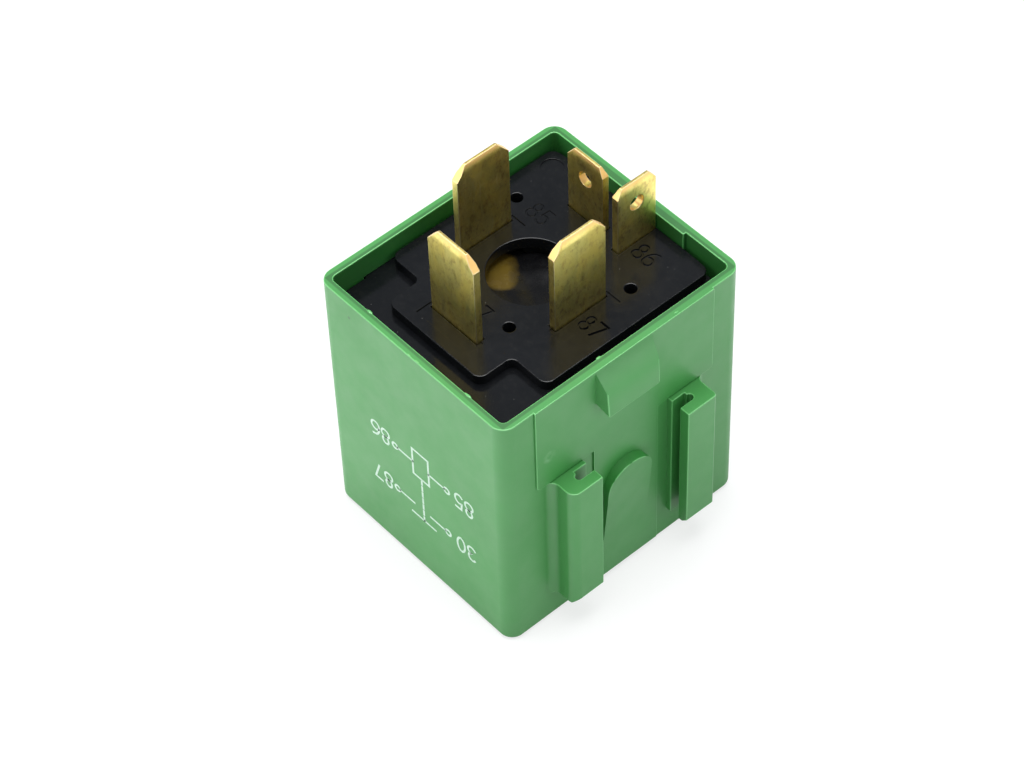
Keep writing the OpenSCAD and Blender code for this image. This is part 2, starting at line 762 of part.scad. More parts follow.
module terminal_87_front() color(brass) translate([blade_87f_x, blade_87f_y, 0]) {
    foot_x = contact_x - blade_87f_x;
    bend_z = foot_z + blade_t + blade_fold_r;
    blade(load_w, load_h, load_tip_h, load_tip_w);
    sheet(-load_w / 2 - shoulder_w, load_w / 2 + shoulder_w, under_z - shoulder_h, under_z);
    run_along_y(-blade_t / 2, blade_t / 2) polygon([
        [-leg_w / 2, under_z], [-leg_w / 2, under_z - limb_drop],
        [foot_x - leg_w / 2, bend_z + limb_rise], [foot_x - leg_w / 2, bend_z],
        [foot_x + leg_w / 2, bend_z], [foot_x + leg_w / 2, bend_z + limb_rise + limb_skew],
        [leg_w / 2, under_z - limb_drop + limb_skew], [leg_w / 2, under_z]
    ]);
    contact_foot(foot_x, front_contact_y - blade_87f_y);
}

module terminal_30() color(brass) translate([blade_30_x, pin_y, 0]) rotate([0, 0, 90]) {
    // here x runs towards +Y and the sheet's far side is -X
    near = blade_t / 2 + blade_fold_r;
    far = blade_30_x - yoke_out_x;
    difference() {
        blade(load_w, load_h, load_tip_h, load_tip_w);
        translate([-load_w, -blade_t, under_z - 1]) cube([2 * load_w, 2 * blade_t, blade_t + blade_fold_r + 1]);
    }
    translate([0, near, under_z + blade_t + blade_fold_r]) sheet_fold(load_w);
    translate([-load_w / 2, near, under_z]) cube([load_w, far - near, blade_t]);
}

// Coil blade with its tail; the tail can stand off centre
module coil_terminal(tail_shift) {
    difference() {
        blade(coil_w, coil_h, coil_tip_h, coil_tip_w);
        translate([0, blade_t, plateau_z + detent_h]) rotate([90, 0, 0]) cylinder(r = detent_r, h = 2 * blade_t);
    }
    sheet(-coil_w / 2, coil_w / 2, under_z - shoulder_h, under_z);
    sheet(tail_shift - tail_w / 2, tail_shift + tail_w / 2, tail_low_z, under_z);
}

module terminal_85() color(brass) translate([c85[0], c85[1], 0]) coil_terminal(0);

module terminal_86() color(brass) translate([c86[0], c86[1], 0]) rotate([0, 0, 90]) coil_terminal(tail_86_shift);

// ---------------------------------------------------------------- electromagnet

module yoke() color(steel) difference() {
    y0 = core_y - yoke_w / 2;
    fold_x = yoke_in_x + yoke_fold_r;
    fold_z = flange_top_z - yoke_fold_r;
    union() {
        translate([fold_x, y0, flange_top_z]) cube([yoke_front_x - fold_x, yoke_w, yoke_t]);
        translate([yoke_out_x, y0, pole_z]) cube([yoke_t, yoke_w, fold_z - pole_z]);
        translate([fold_x, y0 + yoke_w, fold_z]) rotate([90, 0, 0])
            rotate_extrude_sector(yoke_fold_r, yoke_t, yoke_w, 90, 180);
    }
    translate([core_x, core_y, flange_top_z - 1]) cylinder(r = neck_r + seat_clear, h = yoke_t + 2);
    for (y = yoke_rivet_ys) {
        translate([yoke_out_x - 1, y, yoke_rivet_z]) rotate([0, 90, 0])
            cylinder(r = shank_r + seat_clear, h = yoke_t + 2);
    }
}

// Part of a ring of square section, from one angle to another
module rotate_extrude_sector(r, t, w, a0, a1) {
    rotate([0, 0, a0]) rotate_extrude(angle = a1 - a0) translate([r, 0]) square([t, w]);
}

module core() color(steel) translate([core_x, core_y, pole_z]) {
    stacked_discs([
        [pole_r, pole_t],
        [core_r, bobbin_len],
        [neck_r, yoke_t]
    ]);
    head_z = pole_t + bobbin_len + yoke_t;
    translate([0, 0, head_z]) rotate_extrude() polygon([
        [0, 0], [rivet_head_r, 0], [rivet_head_r, rivet_head_h - rivet_edge],
        [rivet_head_r - rivet_edge, rivet_head_h], [0, rivet_head_h]
    ]);
}

// Arm with the hook that the armature rests on when open
hook_x = arm_end_x + hook_gap;
hook_top_z = arm_low_z - residual_gap;
hook_y = (side_contact_y + front_contact_y) / 2;

module stop_hook() {
    x0 = core_x + flange_half - eps;
    y0 = hook_y - hook_w / 2;
    translate([x0, y0, flange_low_z]) cube([hook_x + hook_t - x0, hook_w, flange_low_t]);
    translate([hook_x, y0, hook_top_z - hook_t])
        cube([hook_t, hook_w, flange_low_z - hook_top_z + hook_t + eps]);
    translate([hook_x - hook_toe, y0, hook_top_z - hook_t]) cube([hook_toe + eps, hook_w, hook_t]);
}

module bobbin() color(ivory) difference() {
    tube_r = core_r + seat_clear + bobbin_wall;
    ear_low = [c85[0] - tail_w / 2 - ear_rim, core_y + flange_half - ear_rim];
    ear_high = [c86[0] + blade_t / 2 + ear_rim, c86[1] + tail_86_shift + tail_w / 2 + ear_rim];
    slot_z = flange_top_z - 2 * flange_top_t;
    union() {
        translate([core_x, core_y, flange_low_z]) cylinder(r = tube_r, h = bobbin_len);
        for (z = [[flange_low_z, flange_low_t], [flange_top_z - flange_top_t, flange_top_t]]) {
            rounded_block(
                [core_x - flange_half, core_y - flange_half, z[0]],
                [core_x + flange_half, core_y + flange_half, z[0] + z[1]],
                flange_edge_r
            );
        }
        translate([ear_low[0], ear_low[1], flange_top_z - flange_top_t])
            cube([ear_high[0] - ear_low[0], ear_high[1] - ear_low[1], flange_top_t]);
        stop_hook();
    }
    translate([core_x, core_y, flange_low_z - 1]) cylinder(r = core_r + seat_clear, h = bobbin_len + 2);
    slot = [tail_w + 4 * slot_clear, blade_t + 4 * slot_clear, 3 * flange_top_t];
    translate([c85[0] - slot[0] / 2, c85[1] - slot[1] / 2, slot_z]) cube(slot);
    translate([c86[0] - slot[1] / 2, c86[1] + tail_86_shift - slot[0] / 2, slot_z])
        cube([slot[1], slot[0], slot[2]]);
}

module coil_winding() color(copper) {
    z0 = flange_low_z + flange_low_t;
    len = bobbin_len - flange_low_t - flange_top_t;
    inner = core_r + seat_clear + bobbin_wall;
    pitch = len / winding_turns;
    wire_r = pitch / 2;
    translate([core_x, core_y, z0]) rotate_extrude() {
        translate([inner, 0]) square([winding_r - wire_r - inner, len]);
        for (i = [0 : winding_turns - 1]) translate([winding_r - wire_r, (i + 0.5) * pitch]) circle(wire_r);
    }
    p85 = [c85[0], c85[1] - blade_t / 2, lead_z];
    p86 = [c86[0] - blade_t / 2, c86[1] + tail_86_shift, lead_z];
    for (p = [p85, p86]) {
        out = [p[0] - core_x, p[1] - core_y, 0];
        start = [core_x, core_y, lead_z] + out * ((winding_r - 2 * wire_r) / norm(out));
        wire(start, p, lead_r);
    }
}

module suppression_resistor() {
    x0 = c85[0] + tail_w / 2;
    x1 = c86[0] - blade_t / 2;
    y = c85[1];
    mid = (x0 + x1) / 2;
    color(ivory) translate([mid - resistor_len / 2, y, resistor_z]) rotate([0, 90, 0])
        cylinder(r = resistor_r, h = resistor_len);
    color(silver) wire([x0, y, resistor_z], [x1, y, resistor_z], resistor_lead_r);
}

// ---------------------------------------------------------------- armature and contacts

yoke_rivet_z = pole_z + leaf_rise - yoke_rivet_drop;
yoke_rivet_ys = [core_y - yoke_rivet_pitch / 2, core_y + yoke_rivet_pitch / 2];
arm_rivet_x = (crossbar_x + fork_x) / 2;
arm_rivet_ys = [core_y - arm_rivet_pitch / 2, core_y + arm_rivet_pitch / 2];

// Point in X and Z, measured from the hinge edge, as the open armature's frame has it
function in_armature_frame(p) = [
    p[0] * cos(open_angle) - p[1] * sin(open_angle),
    p[0] * sin(open_angle) + p[1] * cos(open_angle)
];

// Puts what is drawn in the closed position, with the hinge edge as origin, in the open one
module on_armature() {
    translate(hinge) rotate([0, open_angle, 0]) children();
}

module armature() color(steel) on_armature() difference() {
    half = yoke_w / 2;
    taper_x = core_x - hinge[0];
    heel_half = leaf_w / 2 + heel_clear;
    translate([0, 0, leaf_top_w]) linear_extrude(arm_t) polygon([
        [0, -half], [taper_x, -half], [arm_len, -half + arm_taper],
        [arm_len, half - arm_taper], [taper_x, half], [0, half]
    ]);
    translate([-1, -heel_half, -2 * arm_t]) cube([1 + leaf_bend_r + heel_clear, 2 * heel_half, 3 * arm_t]);
    for (y = arm_rivet_ys) {
        translate([arm_rivet_x, y - core_y, -2 * arm_t]) cylinder(r = shank_r + seat_clear, h = 3 * arm_t);
    }
}

module leaf_finger(y) {
    end = contact_reach + finger_over;
    translate([fork_x - eps, y - core_y - finger_w / 2, leaf_top_w - leaf_t])
        cube([end - fork_x + eps, finger_w, leaf_t]);
}

// Section of the leaf in the armature's frame: down the yoke, round the heel and out to the fork
module leaf_section() {
    centre = [leaf_bend_u, leaf_top_w + leaf_bend_r];
    outer_r = leaf_bend_r + leaf_t;
    angles = [for (i = [0 : leaf_bend_steps]) 180 + open_angle + (90 - open_angle) * i / leaf_bend_steps];
    polygon(concat(
        [in_armature_frame([0, leaf_rise])],
        [for (a = angles) centre + leaf_bend_r * [cos(a), sin(a)]],
        [[fork_x, leaf_top_w], [fork_x, leaf_top_w - leaf_t]],
        [for (i = [0 : leaf_bend_steps]) let (a = angles[leaf_bend_steps - i]) centre + outer_r * [cos(a), sin(a)]],
        [in_armature_frame([-leaf_t, leaf_rise])]
    ));
}

module contact_spring() color(brass) {
    far_y = max(side_contact_y + finger_w / 2, core_y + leaf_w / 2);
    near_y = front_contact_y - finger_w / 2;
    difference() {
        on_armature() {
            run_along_y(-leaf_w / 2, leaf_w / 2) leaf_section();
            translate([crossbar_x, near_y - core_y, leaf_top_w - leaf_t])
                cube([fork_x - crossbar_x, far_y - near_y, leaf_t]);
            leaf_finger(side_contact_y);
            leaf_finger(front_contact_y);
        }
        for (y = yoke_rivet_ys) {
            translate([yoke_out_x - 1, y, yoke_rivet_z]) rotate([0, 90, 0])
                cylinder(r = shank_r + seat_clear, h = 2);
        }
        on_armature() for (y = arm_rivet_ys) {
            translate([arm_rivet_x, y - core_y, -3 * arm_t]) cylinder(r = shank_r + seat_clear, h = 4 * arm_t);
        }
        on_armature() for (y = [side_contact_y, front_contact_y]) {
            translate([contact_reach, y - core_y, -3 * arm_t]) cylinder(r = shank_r + seat_clear, h = 4 * arm_t);
        }
    }
}

// Contact rivet with its head up and its shank through a sheet of thickness t
module contact_rivet(t) {
    translate([0, 0, -t - tail_h]) stacked_discs([[shank_r + tail_flare, tail_h], [shank_r, t]]);
    rotate_extrude() polygon([
        [0, 0], [contact_r, 0], [contact_r, contact_h - contact_crown],
        [contact_r - 2 * contact_crown, contact_h], [0, contact_h]
    ]);
}

module moving_contact(y) {
    on_armature() translate([contact_reach, y - core_y, leaf_top_w]) contact_rivet(leaf_t);
}

module moving_contact_side() color(silver) moving_contact(side_contact_y);
module moving_contact_front() color(silver) moving_contact(front_contact_y);

module fixed_contact(y) {
    translate([contact_x, y, foot_z]) mirror([0, 0, 1]) contact_rivet(blade_t);
}

module fixed_contact_side() color(silver) fixed_contact(side_contact_y);
module fixed_contact_front() color(silver) fixed_contact(front_contact_y);

module yoke_rivets() color(brass) for (y = yoke_rivet_ys) {
    translate([yoke_out_x - leaf_t - leaf_rivet_h, y, yoke_rivet_z]) rotate([0, 90, 0])
        stacked_discs([[leaf_rivet_r, leaf_rivet_h], [shank_r, leaf_t + yoke_t]]);
}

module armature_rivets() color(brass) on_armature() for (y = arm_rivet_ys) {
    translate([arm_rivet_x, y - core_y, leaf_top_w - leaf_t - leaf_rivet_h])
        stacked_discs([[leaf_rivet_r, leaf_rivet_h], [shank_r, leaf_t + arm_t]]);
}

// ---------------------------------------------------------------- nodes

case();
base_plate();
terminal_87_side();
terminal_87_front();
terminal_30();
terminal_85();
terminal_86();
yoke();
core();
bobbin();
coil_winding();
armature();
contact_spring();
moving_contact_side();
moving_contact_front();
fixed_contact_side();
fixed_contact_front();
yoke_rivets();
armature_rivets();
suppression_resistor();
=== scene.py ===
"""Looks of the plug-in automotive relay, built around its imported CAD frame.

The blades point up, the bracket rails are on +X and the printed diagram is on -Y. Objects are in
metres. Textures, print, numerals, nicks and resin are laid out in millimetres, which MM converts.
"""
import json
import math

import bmesh
import bpy
from mathutils import Matrix, Vector


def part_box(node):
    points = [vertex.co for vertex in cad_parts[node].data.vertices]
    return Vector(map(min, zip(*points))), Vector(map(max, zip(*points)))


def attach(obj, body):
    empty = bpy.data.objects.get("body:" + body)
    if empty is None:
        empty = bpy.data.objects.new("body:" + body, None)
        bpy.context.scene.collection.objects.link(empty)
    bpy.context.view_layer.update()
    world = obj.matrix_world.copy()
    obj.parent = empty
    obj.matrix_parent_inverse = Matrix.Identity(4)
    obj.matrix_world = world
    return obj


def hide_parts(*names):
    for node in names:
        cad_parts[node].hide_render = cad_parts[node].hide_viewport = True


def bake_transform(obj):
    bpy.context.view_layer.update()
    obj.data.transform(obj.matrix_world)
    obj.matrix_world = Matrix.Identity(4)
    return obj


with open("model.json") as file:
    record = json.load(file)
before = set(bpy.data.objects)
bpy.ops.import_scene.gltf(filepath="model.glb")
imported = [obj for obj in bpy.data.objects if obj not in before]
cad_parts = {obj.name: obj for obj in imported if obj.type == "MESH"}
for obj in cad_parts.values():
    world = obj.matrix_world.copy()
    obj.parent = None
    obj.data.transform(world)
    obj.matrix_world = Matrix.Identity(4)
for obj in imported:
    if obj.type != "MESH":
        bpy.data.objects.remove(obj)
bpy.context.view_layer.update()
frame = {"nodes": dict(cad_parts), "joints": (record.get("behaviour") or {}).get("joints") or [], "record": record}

MM = 0.001
X, Y, Z = 0, 1, 2

# ---------------------------------------------------------------- sizes

# The boxes are in metres, and all else here is in mm
case_low, case_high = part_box("case")
core_low, core_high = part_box("core")
plateau_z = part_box("base_plate")[1].z / MM
rim_z = case_high.z / MM
head_x, head_y = ((core_low + core_high) / 2 / MM).xy
EYE_X, EYE_Y = -1.2, 1.1  # middle of the base's round hole
POOL_RADIUS = 4.44  # the resin's reach in the undercut around that hole
WELL_RADIUS = 2.55  # and in the round well around the core's head
RESIN_Z = 27.5

# Painted shade: the green plastic is darker within these limits, which lie just inside the case's outer faces, so
# on its inner walls
painted_shade_x = (case_low.x / MM + 0.5, 12.4)
painted_shade_y = (-14.3, 14.3)
rub_at = (case_high.x / MM - 2.85, -9.5, 24.3)
speck_at = (-8.4, case_low.y / MM, 29.6)


# ---------------------------------------------------------------- node helpers

class Shader:
    """A material with a Principled shader, and short calls that add nodes to it.

    Textures are laid out in millimetres, so a scale is in cells per millimetre. A value may be a
    number or another node's output.
    """

    def __init__(self, name):
        self.material = bpy.data.materials.new(name)
        self.material.use_nodes = True
        self.tree = self.material.node_tree
        self.bsdf = self.tree.nodes["Principled BSDF"]
        coords = self.add("ShaderNodeTexCoord").outputs["Object"]
        self.mm = self.vector("MULTIPLY", coords, (1 / MM, 1 / MM, 1 / MM))
        self.normal = self.add("ShaderNodeNewGeometry").outputs["Normal"]

    def add(self, kind, **settings):
        node = self.tree.nodes.new(kind)
        for key, value in settings.items():
            setattr(node, key, value)
        return node

    def link(self, value, socket):
        if isinstance(value, bpy.types.NodeSocket):
            self.tree.links.new(value, socket)
        else:
            socket.default_value = value

    def vector(self, operation, a, b):
        node = self.add("ShaderNodeVectorMath", operation=operation)
        self.link(a, node.inputs[0])
        self.link(b, node.inputs[1])
        return node.outputs["Value" if operation == "DISTANCE" else "Vector"]

    def math(self, operation, a, b=0.0, c=0.0):
        node = self.add("ShaderNodeMath", operation=operation)
        for value, socket in zip((a, b, c), node.inputs):
            self.link(value, socket)
        return node.outputs[0]

    def times(self, a, b):
        return self.math("MULTIPLY", a, b)

    def plus(self, a, b):
        return self.math("ADD", a, b)

    def stretched(self, x, y, z):
        """Coordinates in mm times these factors. A small one draws a texture out along its axis."""
        return self.vector("MULTIPLY", self.mm, (x, y, z))

    def noise(self, scale, detail=3.0, roughness=0.5, where=None, distortion=0.0):
        node = self.add("ShaderNodeTexNoise")
        self.link(where or self.mm, node.inputs["Vector"])
        self.link(scale, node.inputs["Scale"])
        self.link(detail, node.inputs["Detail"])
        self.link(roughness, node.inputs["Roughness"])
        self.link(distortion, node.inputs["Distortion"])
        return node.outputs["Fac"]

    def cells(self, scale):
        """Distance to the nearest of scattered points."""
        node = self.add("ShaderNodeTexVoronoi")
        self.link(self.mm, node.inputs["Vector"])
        self.link(scale, node.inputs["Scale"])
        return node.outputs["Distance"]

    def span(self, value, low, high, to_low=0.0, to_high=1.0):
        """Turn the range from low to high into the range from to_low to to_high, clamped."""
        node = self.add("ShaderNodeMapRange", clamp=True)
        for number, socket in zip((value, low, high, to_low, to_high), node.inputs):
            self.link(number, socket)
        return node.outputs[0]

    def part(self, vector, axis):
        node = self.add("ShaderNodeSeparateXYZ")
        self.link(vector, node.inputs[0])
        return node.outputs[axis]

    def within(self, axis, low, high, soft=0.05):
        """1 where the coordinate in mm lies between the two values, 0 elsewhere."""
        value = self.part(self.mm, axis)
        above = self.span(value, low - soft, low + soft)
        return self.times(above, self.span(value, high + soft, high - soft))

    def near(self, point):
        """Distance in mm from a point of the object."""
        return self.vector("DISTANCE", self.mm, point)

    def mix(self, factor, a, b):
        """Blend two colours. Sockets 6 and 7 and output 2 are the Mix node's colour ones."""
        node = self.add("ShaderNodeMix", data_type="RGBA")
        self.link(factor, node.inputs[0])
        self.link(with_alpha(a), node.inputs[6])
        self.link(with_alpha(b), node.inputs[7])
        return node.outputs[2]

    def bump(self, height, strength, distance_mm, normal=None):
        node = self.add("ShaderNodeBump")
        self.link(strength, node.inputs["Strength"])
        self.link(distance_mm * MM, node.inputs["Distance"])
        self.link(height, node.inputs["Height"])
        if normal is not None:
            self.link(normal, node.inputs["Normal"])
        return node.outputs["Normal"]

    def set(self, **values):
        """Set or link sockets of the Principled shader: Base_Color is its socket Base Color."""
        for key, value in values.items():
            self.link(value, self.bsdf.inputs[key.replace("_", " ")])


def with_alpha(colour):
    return colour if isinstance(colour, bpy.types.NodeSocket) else (*colour, 1.0)


# ---------------------------------------------------------------- colours

# Linear values. A pair is the two tones that a material's clouding runs between.
GREEN = (0.046, 0.270, 0.053), (0.054, 0.298, 0.062)
# painted highlight: paler green for the bevelled edges
GREEN_EDGE_HIGHLIGHT = (0.125, 0.47, 0.135), (0.15, 0.52, 0.16)
GREEN_SCUFFED = (0.16, 0.42, 0.16)
# painted shade on the case's inner walls
GREEN_PAINTED_SHADE = (0.014, 0.120, 0.018)
GREEN_RUBBED = (0.34, 0.58, 0.36)
GREEN_SPECK = (0.02, 0.09, 0.02)
BLACK = (0.0034, 0.0040, 0.0052), (0.0068, 0.0072, 0.0082)
DUST = (0.46, 0.46, 0.44)
HAZE = (0.34, 0.32, 0.28)
RESIN = (0.0035, 0.0035, 0.0042)
AMBER = (0.118, 0.080, 0.012), (0.078, 0.050, 0.009)
BRASS = (0.97, 0.80, 0.27), (0.72, 0.57, 0.145)
BRASS_FILM = (0.40, 0.36, 0.10)
BRASS_SPOTS = (0.42, 0.26, 0.07)
BRASS_RUBBED = (1.0, 0.86, 0.44)
BRASS_COINED = (0.88, 0.58, 0.22)
# painted highlight: paler brass for the bevelled edges
BRASS_EDGE_HIGHLIGHT = (0.86, 0.72, 0.42)
PASSIVATED = (0.150, 0.088, 0.014), (0.085, 0.048, 0.010)
HEAD_DARKENING = (0.008, 0.007, 0.006)
BLACK_OXIDE = (0.050, 0.050, 0.055), (0.022, 0.022, 0.025)
SILVER = (0.80, 0.78, 0.72), (0.66, 0.64, 0.58)
COPPER = (0.62, 0.22, 0.075), (0.42, 0.13, 0.045)
NYLON = (0.66, 0.61, 0.48), (0.56, 0.51, 0.39)
LACQUER = (0.50, 0.38, 0.22), (0.42, 0.31, 0.17)
INK = (0.62, 0.80, 0.66), (0.32, 0.60, 0.36)


# ---------------------------------------------------------------- materials

def green_plastic(lit_edge=False):
    """Moulded green plastic: satin, with a fine spark-eroded grain and slight flow clouding.

    The edge one is a paler green, a painted highlight for the bevelled edges. The other has
    scuffs, inner walls darkened as painted shade, one pale rub on the bracket face and one dark
    speck on the diagram face.
    """
    s = Shader("green_plastic_edge_highlight" if lit_edge else "green_plastic")
    cloud = s.span(s.noise(0.11, 4.0), 0.35, 0.7)
    if lit_edge:
        # painted highlight on the bevelled edges
        base = s.mix(cloud, *GREEN_EDGE_HIGHLIGHT)
        rough = s.span(s.noise(0.8, 4.0), 0.3, 0.7, 0.30, 0.40)
    else:
        base = s.mix(cloud, *GREEN)
        scuff = s.span(s.noise(1.1, 6.0, 0.65, distortion=1.2), 0.63, 0.76, 0.0, 0.12)
        base = s.mix(scuff, base, GREEN_SCUFFED)
        # painted shade on the inner walls
        inner_shade = s.times(s.within(X, *painted_shade_x), s.within(Y, *painted_shade_y))
        base = s.mix(s.times(inner_shade, 0.75), base, GREEN_PAINTED_SHADE)
        rub = s.span(s.near(rub_at), 0.85, 0.45, 0.0, 0.30)
        rub = s.times(rub, s.span(s.noise(1.4, 4.0), 0.35, 0.6))
        base = s.mix(rub, base, GREEN_RUBBED)
        speck = s.span(s.near(speck_at), 0.22, 0.12, 0.0, 0.7)
        base = s.mix(speck, base, GREEN_SPECK)
        rough = s.span(s.noise(0.5, 4.0), 0.3, 0.7, 0.40, 0.50)
        rough = s.plus(rough, s.times(scuff, 0.6))
    grain = s.bump(s.noise(9.0, 2.0), 0.14, 0.02)
    s.set(Base_Color=base, Roughness=rough, Normal=grain, Specular_IOR_Level=0.75)
    return s.material


def black_base():
    """Black moulding compound: glossy, faintly clouded, with dust and haze on what faces up.

    The ledge around the raised plateau is a little glossier.
    """
    s = Shader("black_base")
    up = s.span(s.part(s.normal, Z), 0.7, 0.95)
    cloud = s.span(s.noise(0.22, 4.0, 0.55), 0.35, 0.75)
    base = s.mix(cloud, *BLACK)
    dust = s.span(s.cells(1.5), 0.0, 0.060, 1.0, 0.0)
    sparse = s.span(s.noise(0.6, 2.0), 0.58, 0.62)
    dust = s.times(s.times(dust, sparse), up)
    base = s.mix(s.times(dust, 0.8), base, DUST)
    haze = s.times(s.span(s.noise(2.2, 6.0, 0.7), 0.54, 0.84, 0.0, 0.030), up)
    base = s.mix(haze, base, HAZE)
    rough = s.span(s.noise(0.9, 5.0, 0.6), 0.35, 0.7, 0.16, 0.25)
    ledge = s.span(s.part(s.mm, Z), plateau_z - 0.4, plateau_z - 0.9)
    rough = s.times(rough, s.span(ledge, 0.0, 1.0, 1.0, 0.8))
    rough = s.plus(rough, s.times(dust, 0.5))
    waves = s.bump(s.noise(1.2, 3.0), 0.10, 0.03)
    s.set(Base_Color=base, Roughness=rough, Normal=waves, Specular_IOR_Level=0.35)
    return s.material


def from_point(s, x, y, wander):
    """Distance in mm from a point seen from above, and the distance from it towards +X +Y.

    The second one sways by wander, so that a limit set on it isn't straight.
    """
    off = s.vector("SUBTRACT", s.mm, (x, y, 0.0))
    off_x, off_y = s.part(off, X), s.part(off, Y)
    reach = s.math("SQRT", s.plus(s.times(off_x, off_x), s.times(off_y, off_y)))
    across = s.plus(s.times(off_x, 0.64), s.math("MULTIPLY_ADD", off_y, 0.77, wander))
    return reach, across


def black_resin():
    """Sealing resin: black and wet-looking, amber where it lies thin over the core's head."""
    s = Shader("sealing_resin")
    wander = s.span(s.noise(0.8, 3.0), 0.3, 0.7, -0.22, 0.22)
    reach, across = from_point(s, head_x - 0.25, head_y - 0.62, wander)
    thin = s.times(s.span(reach, 2.45, 2.0), s.span(across, 1.6, 0.5))
    cloud = s.span(s.noise(0.5, 3.0, 0.5), 0.3, 0.7)
    base = s.mix(thin, RESIN, s.mix(cloud, *AMBER))
    rough = s.span(s.noise(0.8, 3.0), 0.3, 0.7, 0.20, 0.34)
    swell = s.bump(s.noise(0.5, 1.5), 0.6, 0.12)
    s.set(Base_Color=base, Roughness=rough, Normal=swell, Specular_IOR_Level=0.22)
    return s.material


def brass_sheet(name="brass_sheet", clean=0.0, lit_edge=False):
    """Rolled brass: olive and brown tarnish, marks along Z, and coppery slopes at coined tips.

    clean takes tarnish away, and the edge one is a paler brass, a painted highlight for the bevelled edges.
    """
    s = Shader(name)
    drawn = s.stretched(1.0, 1.0, 0.6)
    patch = s.span(s.noise(0.40, 6.0, 0.62, drawn, distortion=0.8), 0.40, 0.62)
    spots = s.span(s.noise(1.7, 6.0, 0.70, drawn), 0.50, 0.66)
    film = s.span(s.noise(0.24, 4.0, 0.55), 0.52, 0.66)
    base = s.mix(patch, *BRASS)
    base = s.mix(s.times(film, 0.45 - clean), base, BRASS_FILM)
    base = s.mix(s.times(spots, 0.60 - clean), base, BRASS_SPOTS)
    rubbed = s.span(s.noise(1.1, 5.0, 0.65, s.stretched(2.2, 2.2, 0.25)), 0.62, 0.72)
    base = s.mix(s.times(rubbed, 0.35), base, BRASS_RUBBED)
    slope = s.part(s.normal, Z)
    coined = s.times(s.span(slope, 0.12, 0.25), s.span(slope, 0.985, 0.90))
    base = s.mix(coined, base, BRASS_COINED)
    # painted highlight on the bevelled edges
    if lit_edge:
        base = s.mix(0.6, base, BRASS_EDGE_HIGHLIGHT)
    rolling = s.noise(5.0, 4.0, 0.6, s.stretched(3.0, 3.0, 0.12))
    rough = s.span(patch, 0.0, 1.0, 0.33, 0.42)
    rough = s.plus(rough, s.span(rolling, 0.3, 0.7, -0.03, 0.05))
    rough = s.plus(rough, s.times(coined, 0.10))
    marks = s.bump(rolling, 0.12, 0.006)
    dents = s.bump(s.noise(0.9, 5.0, 0.6), 0.16, 0.04, marks)
    s.set(Base_Color=base, Metallic=1.0, Roughness=rough, Normal=dents)
    return s.material


def plated_metal(name, tones, rough_low, rough_high):
    """Metal with patches of two tones, brushed along X."""
    s = Shader(name)
    patch = s.span(s.noise(0.5, 5.0, 0.6), 0.35, 0.7)
    brushed = s.noise(5.0, 3.0, 0.6, s.stretched(0.3, 3.0, 3.0))
    rough = s.span(patch, 0.0, 1.0, rough_low, rough_high)
    rough = s.plus(rough, s.span(brushed, 0.3, 0.7, -0.03, 0.05))
    marks = s.bump(brushed, 0.2, 0.01)
    s.set(Base_Color=s.mix(patch, *tones), Metallic=1.0, Roughness=rough, Normal=marks)
    return s.material


def core_head():
    """The core, yellow passivated and dull; towards its +X side and at its rim it turns near black and glossy."""
    s = Shader("core_passivated")
    cloud = s.span(s.noise(0.9, 4.0, 0.6), 0.35, 0.7)
    wander = s.span(s.noise(0.8, 3.0), 0.3, 0.7, -0.3, 0.3)
    reach, across = from_point(s, head_x, head_y, wander)
    # near black and glossy towards the +X side and at the rim
    darkening = s.math("MAXIMUM", s.span(across, 0.1, 0.95), s.span(s.plus(reach, wander), 1.15, 1.85))
    base = s.mix(s.times(darkening, 0.93), s.mix(cloud, *PASSIVATED), HEAD_DARKENING)
    s.set(Base_Color=base, Metallic=s.span(darkening, 0.0, 1.0, 0.35, 0.0))
    s.set(Roughness=s.span(darkening, 0.0, 1.0, 0.46, 0.22))
    s.set(Normal=s.bump(s.noise(1.6, 4.0), 0.25, 0.03))
    return s.material


def copper_wire():
    """Copper under a clear enamel."""
    s = Shader("enamelled_copper")
    patch = s.span(s.noise(0.7, 4.0), 0.35, 0.7)
    rough = s.span(patch, 0.0, 1.0, 0.22, 0.34)
    s.set(Base_Color=s.mix(patch, *COPPER), Metallic=1.0, Roughness=rough)
    s.set(Coat_Weight=0.6, Coat_Roughness=0.12)
    return s.material


def nylon():
    """Cream moulded nylon with a fine grain."""
    s = Shader("bobbin_nylon")
    cloud = s.span(s.noise(0.4, 4.0), 0.35, 0.7)
    s.set(Base_Color=s.mix(cloud, *NYLON), Roughness=s.span(cloud, 0.0, 1.0, 0.38, 0.48))
    s.set(Normal=s.bump(s.noise(7.0, 2.0), 0.12, 0.02))
    return s.material


def resistor_paint():
    """Tan lacquer on the resistor's body."""
    s = Shader("resistor_lacquer")
    speck = s.span(s.noise(4.0, 4.0), 0.4, 0.7)
    s.set(Base_Color=s.mix(speck, *LACQUER), Roughness=s.span(speck, 0.0, 1.0, 0.25, 0.36))
    s.set(Coat_Weight=0.3, Coat_Roughness=0.15)
    return s.material


def white_ink():
    """Pad-printed white ink, a little thin in places so that the green shows through."""
    s = Shader("white_ink")
    thin = s.span(s.noise(3.0, 4.0, 0.6), 0.42, 0.72, 0.0, 0.5)
    s.set(Base_Color=s.mix(thin, *INK), Roughness=s.span(thin, 0.0, 1.0, 0.42, 0.5))
    return s.material


